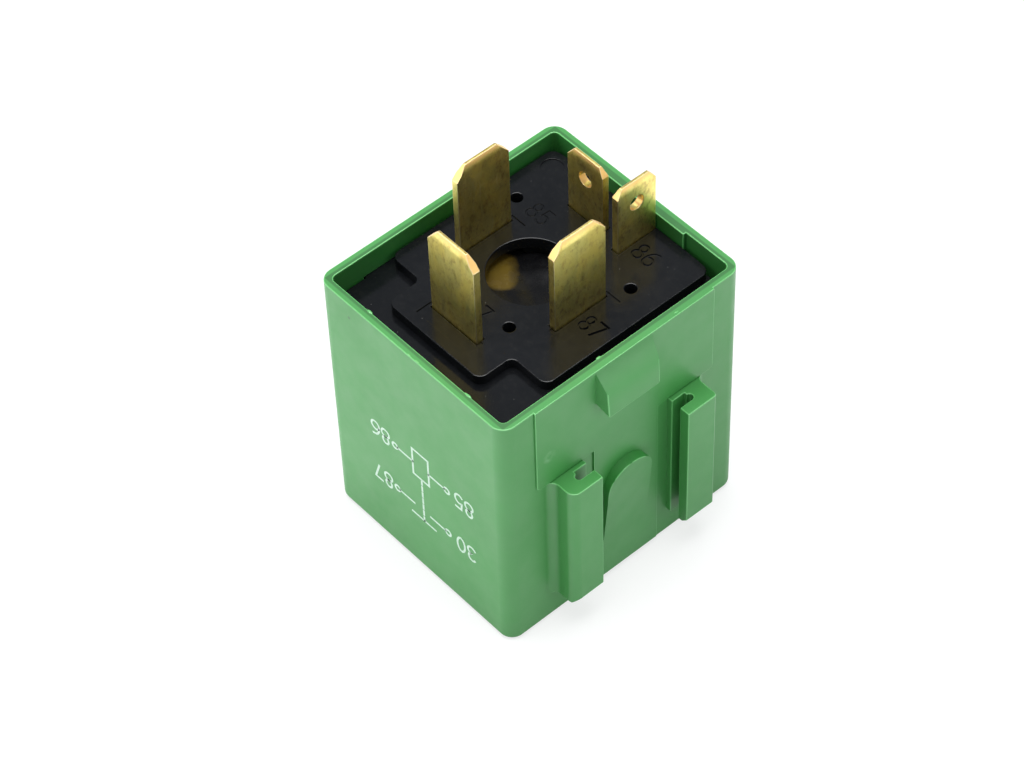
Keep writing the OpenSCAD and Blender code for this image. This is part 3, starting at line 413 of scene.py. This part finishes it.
materials = {
    "case_plastic": green_plastic(),
    "base_plastic": black_base(),
    "blade_brass": brass_sheet(),
    "magnet_steel": plated_metal("oxide_black_iron", BLACK_OXIDE, 0.30, 0.42),
    "core_steel": core_head(),
    "bobbin_plastic": nylon(),
    "coil_wire": copper_wire(),
    "leaf_bronze": brass_sheet("bronze_leaf", clean=0.35),
    "contact_silver": plated_metal("contact_silver", SILVER, 0.18, 0.28),
    "resistor_body": resistor_paint(),
}
edge_highlight_materials = {
    "case_plastic": green_plastic(lit_edge=True),
    "blade_brass": brass_sheet("brass_sheet_edge_highlight", lit_edge=True),
}
ink = white_ink()
resin = black_resin()
slot_of = {p["node"]: p["material_slot"] for p in frame["record"]["subparts"]}
body_of = {n: b for b, ns in frame["record"]["behaviour"]["bodies"].items() for n in ns}


# ---------------------------------------------------------------- meshes from the CAD nodes

COPLANAR = math.radians(0.4)  # an edge flatter than this is dissolved
FLAT = math.radians(0.6)  # faces that meet flatter than this are in one region
SHARP = math.radians(28.0)  # a convex edge that bends more than this gets a small radius
BEVEL_SEGMENTS = 2
ROOM_SHARE = 0.38  # the most of the free width beside an edge that its radius takes
CUSP = math.radians(32.0)  # bent edges that leave a corner closer together than this make a cusp
BENT = math.radians(4.0)  # the least bend of an edge that counts in a cusp
SKEW = 0.01  # least cosine between a sharp edge and the shallow edges of a fan that it crosses
BLENDED = math.radians(36.0)  # shading is smooth over an edge that bends less than this
WELD, ZERO_LENGTH, TOUCHING, FAR = 2e-6, 1e-9, 1e-6, 1.0  # distances in metres


def planar_regions(made):
    """Region number of each face, and each region's area. Touching coplanar faces are a region."""
    region, areas = {}, []
    for seed in made.faces:
        if seed in region:
            continue
        region[seed] = len(areas)
        area, stack = 0.0, [seed]
        while stack:
            face = stack.pop()
            area += face.calc_area()
            for edge in face.edges:
                for other in edge.link_faces:
                    if other not in region and face.normal.angle(other.normal, 0.0) < FLAT:
                        region[other] = len(areas)
                        stack.append(other)
        areas.append(area)
    return region, areas


def room_beside(edge, face, borders):
    """Smallest free width between an edge and its region's other borders, in the face's plane."""
    loop = next(corner for corner in face.loops if corner.edge is edge)
    start, end = loop.vert, loop.link_loop_next.vert
    length = (end.co - start.co).length
    along = (end.co - start.co) / length
    inward = face.normal.cross(along)
    nearest = FAR
    for other in borders:
        if start in other.verts or end in other.verts:
            continue
        u = [(v.co - start.co).dot(along) for v in other.verts]
        w = [(v.co - start.co).dot(inward) for v in other.verts]
        if max(u) <= 0.0 or min(u) >= length or abs(u[0] - u[1]) < ZERO_LENGTH:
            continue
        for place in (max(min(u), 0.0), min(max(u), length)):
            across = w[0] + (w[1] - w[0]) * (place - u[0]) / (u[1] - u[0])
            if TOUCHING < across < nearest:
                nearest = across
    return nearest


def ends_badly(edge, vert):
    """True where the edge ends in a cusp, or runs askew across a fan of slivers."""
    along = (edge.other_vert(vert).co - vert.co).normalized()
    fan = 0
    for other in vert.link_edges:
        bend = other.calc_face_angle(0.0)
        slant = along.dot((other.other_vert(vert).co - vert.co).normalized())
        if other is not edge and bend > BENT and slant > math.cos(CUSP):
            return True
        fan += FLAT < bend < SHARP and abs(slant) > SKEW
    return fan > 1


def merge_and_weigh(mesh, width):
    """Merge split corners and coplanar triangles, and give sharp convex edges a bevel weight."""
    made = bmesh.new()
    made.from_mesh(mesh)
    weight = made.edges.layers.float.new("bevel_weight_edge")
    bmesh.ops.remove_doubles(made, verts=made.verts, dist=WELD)
    bmesh.ops.dissolve_limit(
        made, angle_limit=COPLANAR, use_dissolve_boundaries=False,
        verts=made.verts, edges=made.edges,
    )
    made.normal_update()
    region, _ = planar_regions(made)
    borders = {}
    for edge in made.edges:
        numbers = {region[face] for face in edge.link_faces}
        if len(numbers) > 1:
            for number in numbers:
                borders.setdefault(number, []).append(edge)
    for edge in made.edges:
        if not (edge.is_manifold and edge.is_convex and edge.calc_face_angle(0.0) > SHARP):
            continue
        if any(ends_badly(edge, vert) for vert in edge.verts):
            continue
        room = min(room_beside(edge, face, borders[region[face]]) for face in edge.link_faces)
        edge[weight] = min(1.0, ROOM_SHARE * room / width)
    for face in made.faces:
        face.smooth = True
    made.to_mesh(mesh)
    made.free()


def cut_up(mesh, heights):
    """Cut all faces at those heights, then into triangles where they have over four corners."""
    made = bmesh.new()
    made.from_mesh(mesh)
    for z in heights:
        everything = made.verts[:] + made.edges[:] + made.faces[:]
        bmesh.ops.bisect_plane(
            made, geom=everything, plane_co=(0.0, 0.0, z), plane_no=(0.0, 0.0, 1.0)
        )
    many = [face for face in made.faces if len(face.verts) > 4]
    bmesh.ops.triangulate(made, faces=many, quad_method="BEAUTY", ngon_method="BEAUTY")
    made.to_mesh(mesh)
    made.free()


def shade_by_regions(mesh):
    """Corner normals led by the large faces: flat stays flat, and small radii blend into it."""
    made = bmesh.new()
    made.from_mesh(mesh)
    made.faces.ensure_lookup_table()
    region, areas = planar_regions(made)
    corners = []
    for face in made.faces:
        for loop in face.loops:
            total = Vector()
            for other in loop.vert.link_faces:
                if face.normal.angle(other.normal, 0.0) < BLENDED:
                    total += other.normal * areas[region[other]]
            corners.append(total.normalized() if total.length > 0.0 else face.normal.copy())
    made.free()
    mesh.normals_split_custom_set(corners)


def linked(name, data):
    """A new object in the scene."""
    obj = bpy.data.objects.new(name, data)
    bpy.context.scene.collection.objects.link(obj)
    return obj


def apply_modifiers(obj):
    """Turn the object's modifiers into mesh."""
    graph = bpy.context.evaluated_depsgraph_get()
    mesh = bpy.data.meshes.new_from_object(obj.evaluated_get(graph), depsgraph=graph)
    old = obj.data
    obj.modifiers.clear()
    obj.data = mesh
    mesh.name = obj.name
    bpy.data.meshes.remove(old)


def dressed(node, bevel_mm, cutters=(), heights=()):
    """A copy of a CAD node with small radii on its sharp edges, engraved, and its material."""
    slot = slot_of[node]
    mesh = frame["nodes"][node].data.copy()
    merge_and_weigh(mesh, bevel_mm * MM)
    mesh.materials.clear()
    mesh.materials.append(materials[slot])
    if slot in edge_highlight_materials:
        mesh.materials.append(edge_highlight_materials[slot])
    piece = linked(node + "_dressed", mesh)
    bevel = piece.modifiers.new("edges", "BEVEL")
    bevel.width = bevel_mm * MM
    bevel.segments = BEVEL_SEGMENTS
    bevel.limit_method = "WEIGHT"
    bevel.use_clamp_overlap = False
    bevel.loop_slide = False
    # the bevel faces get the paler material, a painted highlight along the edges
    if slot in edge_highlight_materials:
        bevel.material = 1
    if cutters:
        tools = bpy.data.collections.new("cutters")
        for cutter in cutters:
            tools.objects.link(cutter)
        cut = piece.modifiers.new("engraving", "BOOLEAN")
        cut.operand_type = "COLLECTION"
        cut.collection = tools
        cut.operation = "DIFFERENCE"
        cut.solver = "EXACT"
    apply_modifiers(piece)
    cut_up(piece.data, heights)
    shade_by_regions(piece.data)
    if cutters:
        for cutter in cutters:
            bpy.data.objects.remove(cutter)
        bpy.data.collections.remove(tools)
    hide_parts(node)
    return piece


# ---------------------------------------------------------------- strokes of print and numerals

def arc(cx, cy, rx, ry, start, end, steps=14):
    """Points on an ellipse's arc, between two angles in degrees."""
    angles = [math.radians(start + (end - start) * i / steps) for i in range(steps + 1)]
    return [(cx + rx * math.cos(a), cy + ry * math.sin(a)) for a in angles]


def ring(cx, cy, r):
    return (arc(cx, cy, r, r, 0, 342, 19), True)


def segment(*points):
    return (list(points), False)


# Strokes of each numeral in a cell CELL wide and 1 high, as (points, closed)
CELL, GAP = 0.6, 0.14
NUMERALS = {
    "0": [(arc(0.30, 0.50, 0.27, 0.50, 0, 342), True)],
    "3": [segment(*arc(0.27, 0.75, 0.24, 0.25, 150, -85, 10),
                  *arc(0.27, 0.26, 0.28, 0.26, 80, -150, 12))],
    "5": [segment((0.52, 1.0), (0.12, 1.0), (0.08, 0.56),
                  *arc(0.27, 0.31, 0.28, 0.31, 125, -140, 12))],
    "6": [segment((0.50, 0.98), *arc(0.44, 0.34, 0.42, 0.62, 115, 178, 6),
                  *arc(0.30, 0.28, 0.28, 0.28, 180, 515, 18))],
    "7": [segment((0.05, 1.0), (0.56, 1.0), (0.24, 0.0))],
    "8": [(arc(0.30, 0.76, 0.22, 0.24, -90, 250, 14), True),
          (arc(0.30, 0.26, 0.28, 0.26, 90, 430, 16), True)],
}

# In half widths of a stroke: how far a free end reaches on, and the longest mitre of a corner
END_REACH, LONGEST_MITRE = 0.8, 2.2
LEAST_MITRE_COSINE = 0.35


def written(text, left, foot, height):
    """Strokes of a number whose lower left corner is at (left, foot)."""
    strokes = []
    for i, character in enumerate(text):
        x = left + i * (CELL + GAP) * height
        for points, closed in NUMERALS[character]:
            placed = [(x + px * height, foot + py * height) for px, py in points]
            strokes.append((placed, closed))
    return strokes


def offsets(points, half, closed):
    """Left and right edges of a ribbon of that half width, with mitred corners."""
    pts = [Vector(p) for p in points]
    left, right = [], []
    for i, p in enumerate(pts):
        before = pts[i - 1] if (i or closed) else None
        after = pts[(i + 1) % len(pts)] if (i + 1 < len(pts) or closed) else None
        d0 = (p - before).normalized() if before is not None else None
        d1 = (after - p).normalized() if after is not None else None
        if d0 is None or d1 is None:
            d = d0 if d0 is not None else d1
            side = Vector((-d.y, d.x)) * half
            end = d * (half if d1 is None else -half) * END_REACH
            left.append(p + side + end)
            right.append(p - side + end)
            continue
        n0, n1 = Vector((-d0.y, d0.x)), Vector((-d1.y, d1.x))
        mitre = (n0 + n1).normalized()
        reach = min(half / max(mitre.dot(n1), LEAST_MITRE_COSINE), half * LONGEST_MITRE)
        left.append(p + mitre * reach)
        right.append(p - mitre * reach)
    return left, right


def finished_mesh(made, name, material=None):
    """Turn a bmesh into a mesh, with a material where one is given, and free it."""
    mesh = bpy.data.meshes.new(name)
    made.to_mesh(mesh)
    made.free()
    if material:
        mesh.materials.append(material)
    return mesh


def strip_mesh(name, strokes, width, foot_h, top_h, place, taper=1.0):
    """Closed strips along the strokes, from foot_h to top_h, where they are taper times as wide.

    place(u, v, h) gives a point in metres: u and v in the plane and h out of it, in mm.
    """
    made = bmesh.new()
    for points, closed in strokes:
        foot = offsets(points, width / 2, closed)
        top = offsets(points, width / 2 * taper, closed)
        count = len(points)
        rings = []
        for i in range(count):
            corners = (
                (foot[0][i], foot_h), (foot[1][i], foot_h), (top[1][i], top_h), (top[0][i], top_h)
            )
            rings.append([made.verts.new(place(p.x, p.y, h)) for p, h in corners])
        for i in range(count if closed else count - 1):
            a, b = rings[i], rings[(i + 1) % count]
            for k in range(4):
                made.faces.new((a[k], a[(k + 1) % 4], b[(k + 1) % 4], b[k]))
        if not closed:
            made.faces.new(rings[0][::-1])
            made.faces.new(rings[-1])
    bmesh.ops.recalc_face_normals(made, faces=made.faces)
    return finished_mesh(made, name)


# ---------------------------------------------------------------- printed circuit diagram

PRINT_WIDTH, PRINT_TEXT = 0.25, 1.98
PRINT_PROUD, PRINT_SUNK = 0.010, 0.002  # the ink's height above the wall, and its part in the wall
COIL_ROW, LOAD_ROW = -15.95, -9.45
DOT = 0.36  # radius of a terminal's ring


def circuit_strokes():
    """Strokes of the diagram: u = -x and v = -z, as it reads with the blades down."""
    strokes = []
    for text, u, v in (
        ("85", -8.2, COIL_ROW), ("86", 3.75, COIL_ROW - 0.1),
        ("30", -8.2, LOAD_ROW + 0.1), ("87", 3.8, LOAD_ROW),
    ):
        strokes += written(text, u, v - PRINT_TEXT / 2, PRINT_TEXT)
    # the coil: two terminals with their leads, the box between them, and its dashed link
    v, box_left, box_right = COIL_ROW, -1.85, 0.42
    strokes += [ring(-4.45, v, DOT), segment((-4.09, v), (box_left, v))]
    box = [(box_left, v - 1.95), (box_right, v - 1.95), (box_right, v + 1.75), (box_left, v + 1.75)]
    strokes += [(box, True)]
    strokes += [segment((box_right, v), (2.62, v)), ring(2.98, v, DOT)]
    link_u, dash, pitch = -0.75, 0.62, 0.92
    for i in range(7):
        start = v + 1.9 + i * pitch
        strokes += [segment((link_u, start), (link_u, start + dash))]
    # the load contact: two terminals with their leads, and the bridge that closes them
    v = LOAD_ROW
    strokes += [ring(-4.3, v, DOT), segment((-3.94, v), (-1.75, v))]
    strokes += [segment((0.6, v), (2.72, v)), ring(3.08, v, DOT)]
    strokes += [segment((-2.4, v + 1.5), (1.0, v + 1.5))]
    return strokes


def on_diagram_face(u, v, h):
    return Vector((-u * MM, case_low.y - h * MM, -v * MM))


diagram = strip_mesh(
    "printed_diagram", circuit_strokes(), PRINT_WIDTH, -PRINT_SUNK, PRINT_PROUD, on_diagram_face
)
diagram.materials.append(ink)
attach(linked("printed_diagram", diagram), "housing")


# ---------------------------------------------------------------- dressed pieces

ENGRAVED_TEXT = 1.85
ENGRAVER_WIDTH, ENGRAVER_TAPER = 0.12, 2.2  # width at the bottom, and how much wider at the top
ENGRAVER_OVER = 0.04  # how far a cutter stands above the face that it cuts
ENGRAVED = (  # number, x and y of its middle, and depth
    ("87", 7.7, 0.75, 0.25), ("86", 4.6, 10.3, 0.13), ("85", -6.0, 6.6, 0.08),
    ("30", -9.9, 1.1, 0.13), ("87", -1.0, -5.6, 0.13),
)


def on_plateau(u, v, h):
    return Vector((u * MM, v * MM, (plateau_z + h) * MM))


def engravers(text, x, y, depth):
    """Cutters for a number in the base's plateau: grooves that narrow downwards."""
    width = (CELL * len(text) + GAP * (len(text) - 1)) * ENGRAVED_TEXT
    strokes = written(text, x - width / 2, y - ENGRAVED_TEXT / 2, ENGRAVED_TEXT)
    meshes = [
        strip_mesh(
            "cutter", [stroke], ENGRAVER_WIDTH, -depth, ENGRAVER_OVER, on_plateau, ENGRAVER_TAPER
        )
        for stroke in strokes
    ]
    return [linked("cutter", mesh) for mesh in meshes]


cutters = [cutter for numeral in ENGRAVED for cutter in engravers(*numeral)]
bevels = {  # radius on the sharp edges of each dressed node, in mm
    "case": 0.10, "base_plate": 0.13, "terminal_87_side": 0.07, "terminal_87_front": 0.07,
    "terminal_30": 0.07, "terminal_85": 0.06, "terminal_86": 0.06, "yoke": 0.08, "core": 0.12,
    "bobbin": 0.08, "armature": 0.06,
}
for node, bevel_mm in bevels.items():
    engraved = cutters if node == "base_plate" else ()
    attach(dressed(node, bevel_mm, cutters=engraved), body_of[node])

# The leaf is riveted to the yoke above and to the armature below, and bends in between. It is cut
# into bands there.
hinge = Vector(frame["joints"][0]["pos_m"])
bend_top, bend_foot, bands = 0.0140, hinge.z + 0.0002, 16
levels = [bend_foot + (bend_top - bend_foot) * i / bands for i in range(bands + 1)]
leaf = dressed("contact_spring", bevel_mm=0.04, heights=levels)
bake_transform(leaf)

for node, obj in frame["nodes"].items():
    if node not in bevels and node != "contact_spring":
        obj.data.materials.clear()
        obj.data.materials.append(materials[slot_of[node]])


# ---------------------------------------------------------------- flash nicks and sealing resin

NICKS = (  # x, y, half length, half width, and the turn in degrees of the edge that it sits on
    (-6.3, -13.93, 0.36, 0.15, 0.0), (0.1, -14.70, 0.24, 0.09, 0.0),
    (1.2, -14.69, 0.34, 0.10, 0.0), (7.3, -13.93, 0.45, 0.14, 0.0),
    (12.74, 6.5, 0.30, 0.10, 90.0), (11.97, -2.4, 0.30, 0.14, 90.0),
)
NICK_HEIGHT, NICK_SUNK, NICK_WAVE = 0.10, 0.04, 0.02


def flash_nicks():
    """Small burrs of moulding flash on the edges of the case's rim."""
    made = bmesh.new()
    for x, y, half, across, turn in NICKS:
        size = Matrix.Diagonal((half, across, NICK_HEIGHT, 1.0))
        place = Matrix.Translation(Vector((x, y, rim_z - NICK_SUNK)) * MM)
        shape = place @ Matrix.Rotation(math.radians(turn), 4, "Z") @ Matrix.Scale(MM, 4) @ size
        bmesh.ops.create_icosphere(made, subdivisions=3, radius=1.0, matrix=shape)
    for vert in made.verts:
        x, y, _ = vert.co
        vert.co.z += NICK_WAVE * MM * math.sin(x * 9000.0) * math.cos(y * 7000.0)
    for face in made.faces:
        face.smooth = True
    # the nicks take the paler edge material, a painted highlight
    mesh = finished_mesh(made, "flash_nicks", edge_highlight_materials["case_plastic"])
    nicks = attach(linked("flash_nicks", mesh), "housing")


def resin_pool():
    """Resin in the base's round hole and in the well around the core's head, up to RESIN_Z.

    It is a disc of rings around the hole's middle, slightly wavy and creeping up at its rim, with
    walls down to the top of the head and a flat bottom.
    """
    rings, turns, hub = 40, 128, 0.004
    creep_height, creep_length = 0.06, 0.25
    beside = head_x - EYE_X
    made = bmesh.new()
    rows = []
    for i in range(rings + 1):
        row = []
        for j in range(turns):
            t = 2 * math.pi * j / turns
            aside = beside * math.sin(t)
            well = 0.0
            if abs(aside) < WELL_RADIUS and math.cos(t) < 0.0:
                well = beside * math.cos(t) + math.sqrt(WELL_RADIUS ** 2 - aside ** 2)
            far = max(POOL_RADIUS, well)
            r = far * (hub + (1.0 - hub) * i / rings)
            x, y = EYE_X + r * math.cos(t), EYE_Y + r * math.sin(t)
            swell = 0.05 * math.sin(1.1 * x + 0.7) * math.cos(0.9 * y)
            swell += 0.03 * math.sin(2.3 * y + 0.8 * x)
            creep = creep_height * math.exp(-(far - r) / creep_length)
            row.append(made.verts.new(Vector((x, y, RESIN_Z + swell + creep)) * MM))
        rows.append(row)
    rows.append([made.verts.new((v.co.x, v.co.y, core_high.z)) for v in rows[-1]])
    made.faces.new(rows[0])
    for inner, outer in zip(rows, rows[1:]):
        for j in range(turns):
            k = (j + 1) % turns
            made.faces.new((inner[j], outer[j], outer[k], inner[k]))
    made.faces.new(rows[-1][::-1])
    bmesh.ops.recalc_face_normals(made, faces=made.faces)
    for face in made.faces:
        face.smooth = len(face.verts) == 4
    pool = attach(linked("sealing_resin", finished_mesh(made, "sealing_resin", resin)), "housing")


flash_nicks()
resin_pool()


# ---------------------------------------------------------------- camera

# Solved from the photograph: angles in degrees, distances in metres
AZIMUTH, ELEVATION, ROLL = 50.10, 49.69, -2.28
CAMERA_BACK, CAMERA_RIGHT, CAMERA_UP = 0.33208, -0.00204, 0.01007
SENSOR_MM, LENS_MM = 36.0, 117.8


def matched_camera():
    """Camera at the photograph's viewing angle."""
    data = bpy.data.cameras.new("camera")
    data.sensor_fit = "HORIZONTAL"
    data.sensor_width = SENSOR_MM
    data.lens = LENS_MM
    data.clip_start, data.clip_end = 0.01, 50.0
    cam = linked("camera", data)
    azimuth, elevation, roll = (math.radians(a) for a in (AZIMUTH, ELEVATION, ROLL))
    back = Vector((
        math.sin(azimuth) * math.cos(elevation),
        -math.cos(azimuth) * math.cos(elevation),
        math.sin(elevation),
    ))
    right = Vector((math.cos(azimuth), math.sin(azimuth), 0.0))
    up = back.cross(right)
    place = back * CAMERA_BACK + right * CAMERA_RIGHT + up * CAMERA_UP
    right_rolled = right * math.cos(roll) + up * math.sin(roll)
    up_rolled = up * math.cos(roll) - right * math.sin(roll)
    turned = Matrix((right_rolled, up_rolled, back)).transposed()
    cam.matrix_world = Matrix.Translation(place) @ turned.to_4x4()
    bpy.context.scene.camera = cam


# ---------------------------------------------------------------- floor, world and lamps

SEEN = ("Is Camera Ray",)
REFLECTED = ("Is Glossy Ray", "Is Transmission Ray")
LAMP_AIM = Vector((0.0, 0.0, 0.015))  # about the middle of the case, in metres


def mixed_by_rays(tree, ray_outputs, plain, special):
    """Use the shader special for those kinds of ray and plain for all others."""
    path = tree.nodes.new("ShaderNodeLightPath")
    mask = path.outputs[ray_outputs[0]]
    for name in ray_outputs[1:]:
        either = tree.nodes.new("ShaderNodeMath")
        either.operation = "MAXIMUM"
        tree.links.new(mask, either.inputs[0])
        tree.links.new(path.outputs[name], either.inputs[1])
        mask = either.outputs[0]
    mix = tree.nodes.new("ShaderNodeMixShader")
    tree.links.new(mask, mix.inputs[0])
    tree.links.new(plain, mix.inputs[1])
    tree.links.new(special, mix.inputs[2])
    return mix.outputs[0]


def painted_shadow_grey(tree, middle, near, far, grey_near, grey_far):
    """Painted shadow: a grey that goes from one value to another with the distance from a point, in metres."""
    away = tree.nodes.new("ShaderNodeVectorMath")
    away.operation = "DISTANCE"
    away.inputs[1].default_value = middle
    tree.links.new(tree.nodes.new("ShaderNodeTexCoord").outputs["Object"], away.inputs[0])
    shade = tree.nodes.new("ShaderNodeMapRange")
    for value, socket in zip((near, far, grey_near, grey_far), list(shade.inputs)[1:5]):
        socket.default_value = value
    tree.links.new(away.outputs["Value"], shade.inputs[0])
    return shade.outputs[0]


def glowing_grey(tree, grey, glow):
    """Diffuse shader of a grey, a number or a node's output, with a glow added."""
    diffuse = tree.nodes.new("ShaderNodeBsdfDiffuse")
    if isinstance(grey, bpy.types.NodeSocket):
        tree.links.new(grey, diffuse.inputs["Color"])
    else:
        diffuse.inputs["Color"].default_value = (grey, grey, grey, 1.0)
    emission = tree.nodes.new("ShaderNodeEmission")
    emission.inputs["Strength"].default_value = glow
    both = tree.nodes.new("ShaderNodeAddShader")
    tree.links.new(diffuse.outputs[0], both.inputs[0])
    tree.links.new(emission.outputs[0], both.inputs[1])
    return both.outputs[0]


def studio_floor():
    """Pale floor. Where the camera sees it, a glow lifts it to white around its soft shadow.

    Painted shadow: for bounced and mirrored light its grey is darker beside the bracket face.
    """
    half, drop = 4.0, 0.00002
    corners = [(-half, -half, 0), (half, -half, 0), (half, half, 0), (-half, half, 0)]
    mesh = bpy.data.meshes.new("floor")
    mesh.from_pydata(corners, [], [(0, 1, 2, 3)])
    floor = linked("floor", mesh)
    floor.location.z = -drop
    material = bpy.data.materials.new("floor_white")
    material.use_nodes = True
    tree = material.node_tree
    tree.nodes.clear()
    # painted shadow: the floor's grey for bounced and mirrored light is darker near the bracket side
    grey = painted_shadow_grey(
        tree, (0.022, 0.0, 0.0), near=0.010, far=0.045, grey_near=0.48, grey_far=0.88
    )
    bounced = glowing_grey(tree, grey, glow=0.0)
    mirrored = glowing_grey(tree, grey, glow=0.35)
    seen = glowing_grey(tree, 0.30, glow=0.72)
    unseen = mixed_by_rays(tree, REFLECTED, bounced, mirrored)
    surface = mixed_by_rays(tree, SEEN, unseen, seen)
    out = tree.nodes.new("ShaderNodeOutputMaterial")
    tree.links.new(surface, out.inputs["Surface"])
    mesh.materials.append(material)


def studio_world():
    """White behind the floor where the camera sees it, and a soft grey room around the object."""
    world = bpy.data.worlds.new("studio")
    bpy.context.scene.world = world
    world.use_nodes = True
    tree = world.node_tree
    tree.nodes.clear()
    seen = tree.nodes.new("ShaderNodeBackground")
    seen.inputs["Color"].default_value = (1.0, 1.0, 1.0, 1.0)
    room = tree.nodes.new("ShaderNodeBackground")
    room.inputs["Color"].default_value = (0.92, 0.98, 1.06, 1.0)
    room.inputs["Strength"].default_value = 0.38
    surface = mixed_by_rays(tree, SEEN, room.outputs[0], seen.outputs[0])
    out = tree.nodes.new("ShaderNodeOutputWorld")
    tree.links.new(surface, out.inputs["Surface"])


def softbox(name, direction, distance, size, radiance):
    """Rectangular lamp that faces the object, in metres. Radiance 1 looks white in a mirror."""
    data = bpy.data.lights.new(name, "AREA")
    data.shape = "RECTANGLE"
    data.size, data.size_y = size
    data.energy = radiance * math.pi * size[0] * size[1]
    lamp = linked(name, data)
    toward = Vector(direction).normalized()
    lamp.location = toward * distance + LAMP_AIM
    lamp.rotation_mode = "QUATERNION"
    lamp.rotation_quaternion = toward.to_track_quat("Z", "Y")
    lamp.visible_camera = False


matched_camera()
studio_floor()
studio_world()
softbox("softbox_above", (-0.05, 0.02, 1.0), 0.90, (0.65, 0.65), 6.5)
softbox("softbox_left", (-0.50, -0.76, 0.42), 0.65, (0.50, 0.40), 2.8)
softbox("softbox_right", (0.80, 0.38, 0.48), 0.65, (0.45, 0.40), 1.35)
bpy.context.scene.view_settings.view_transform = "Standard"
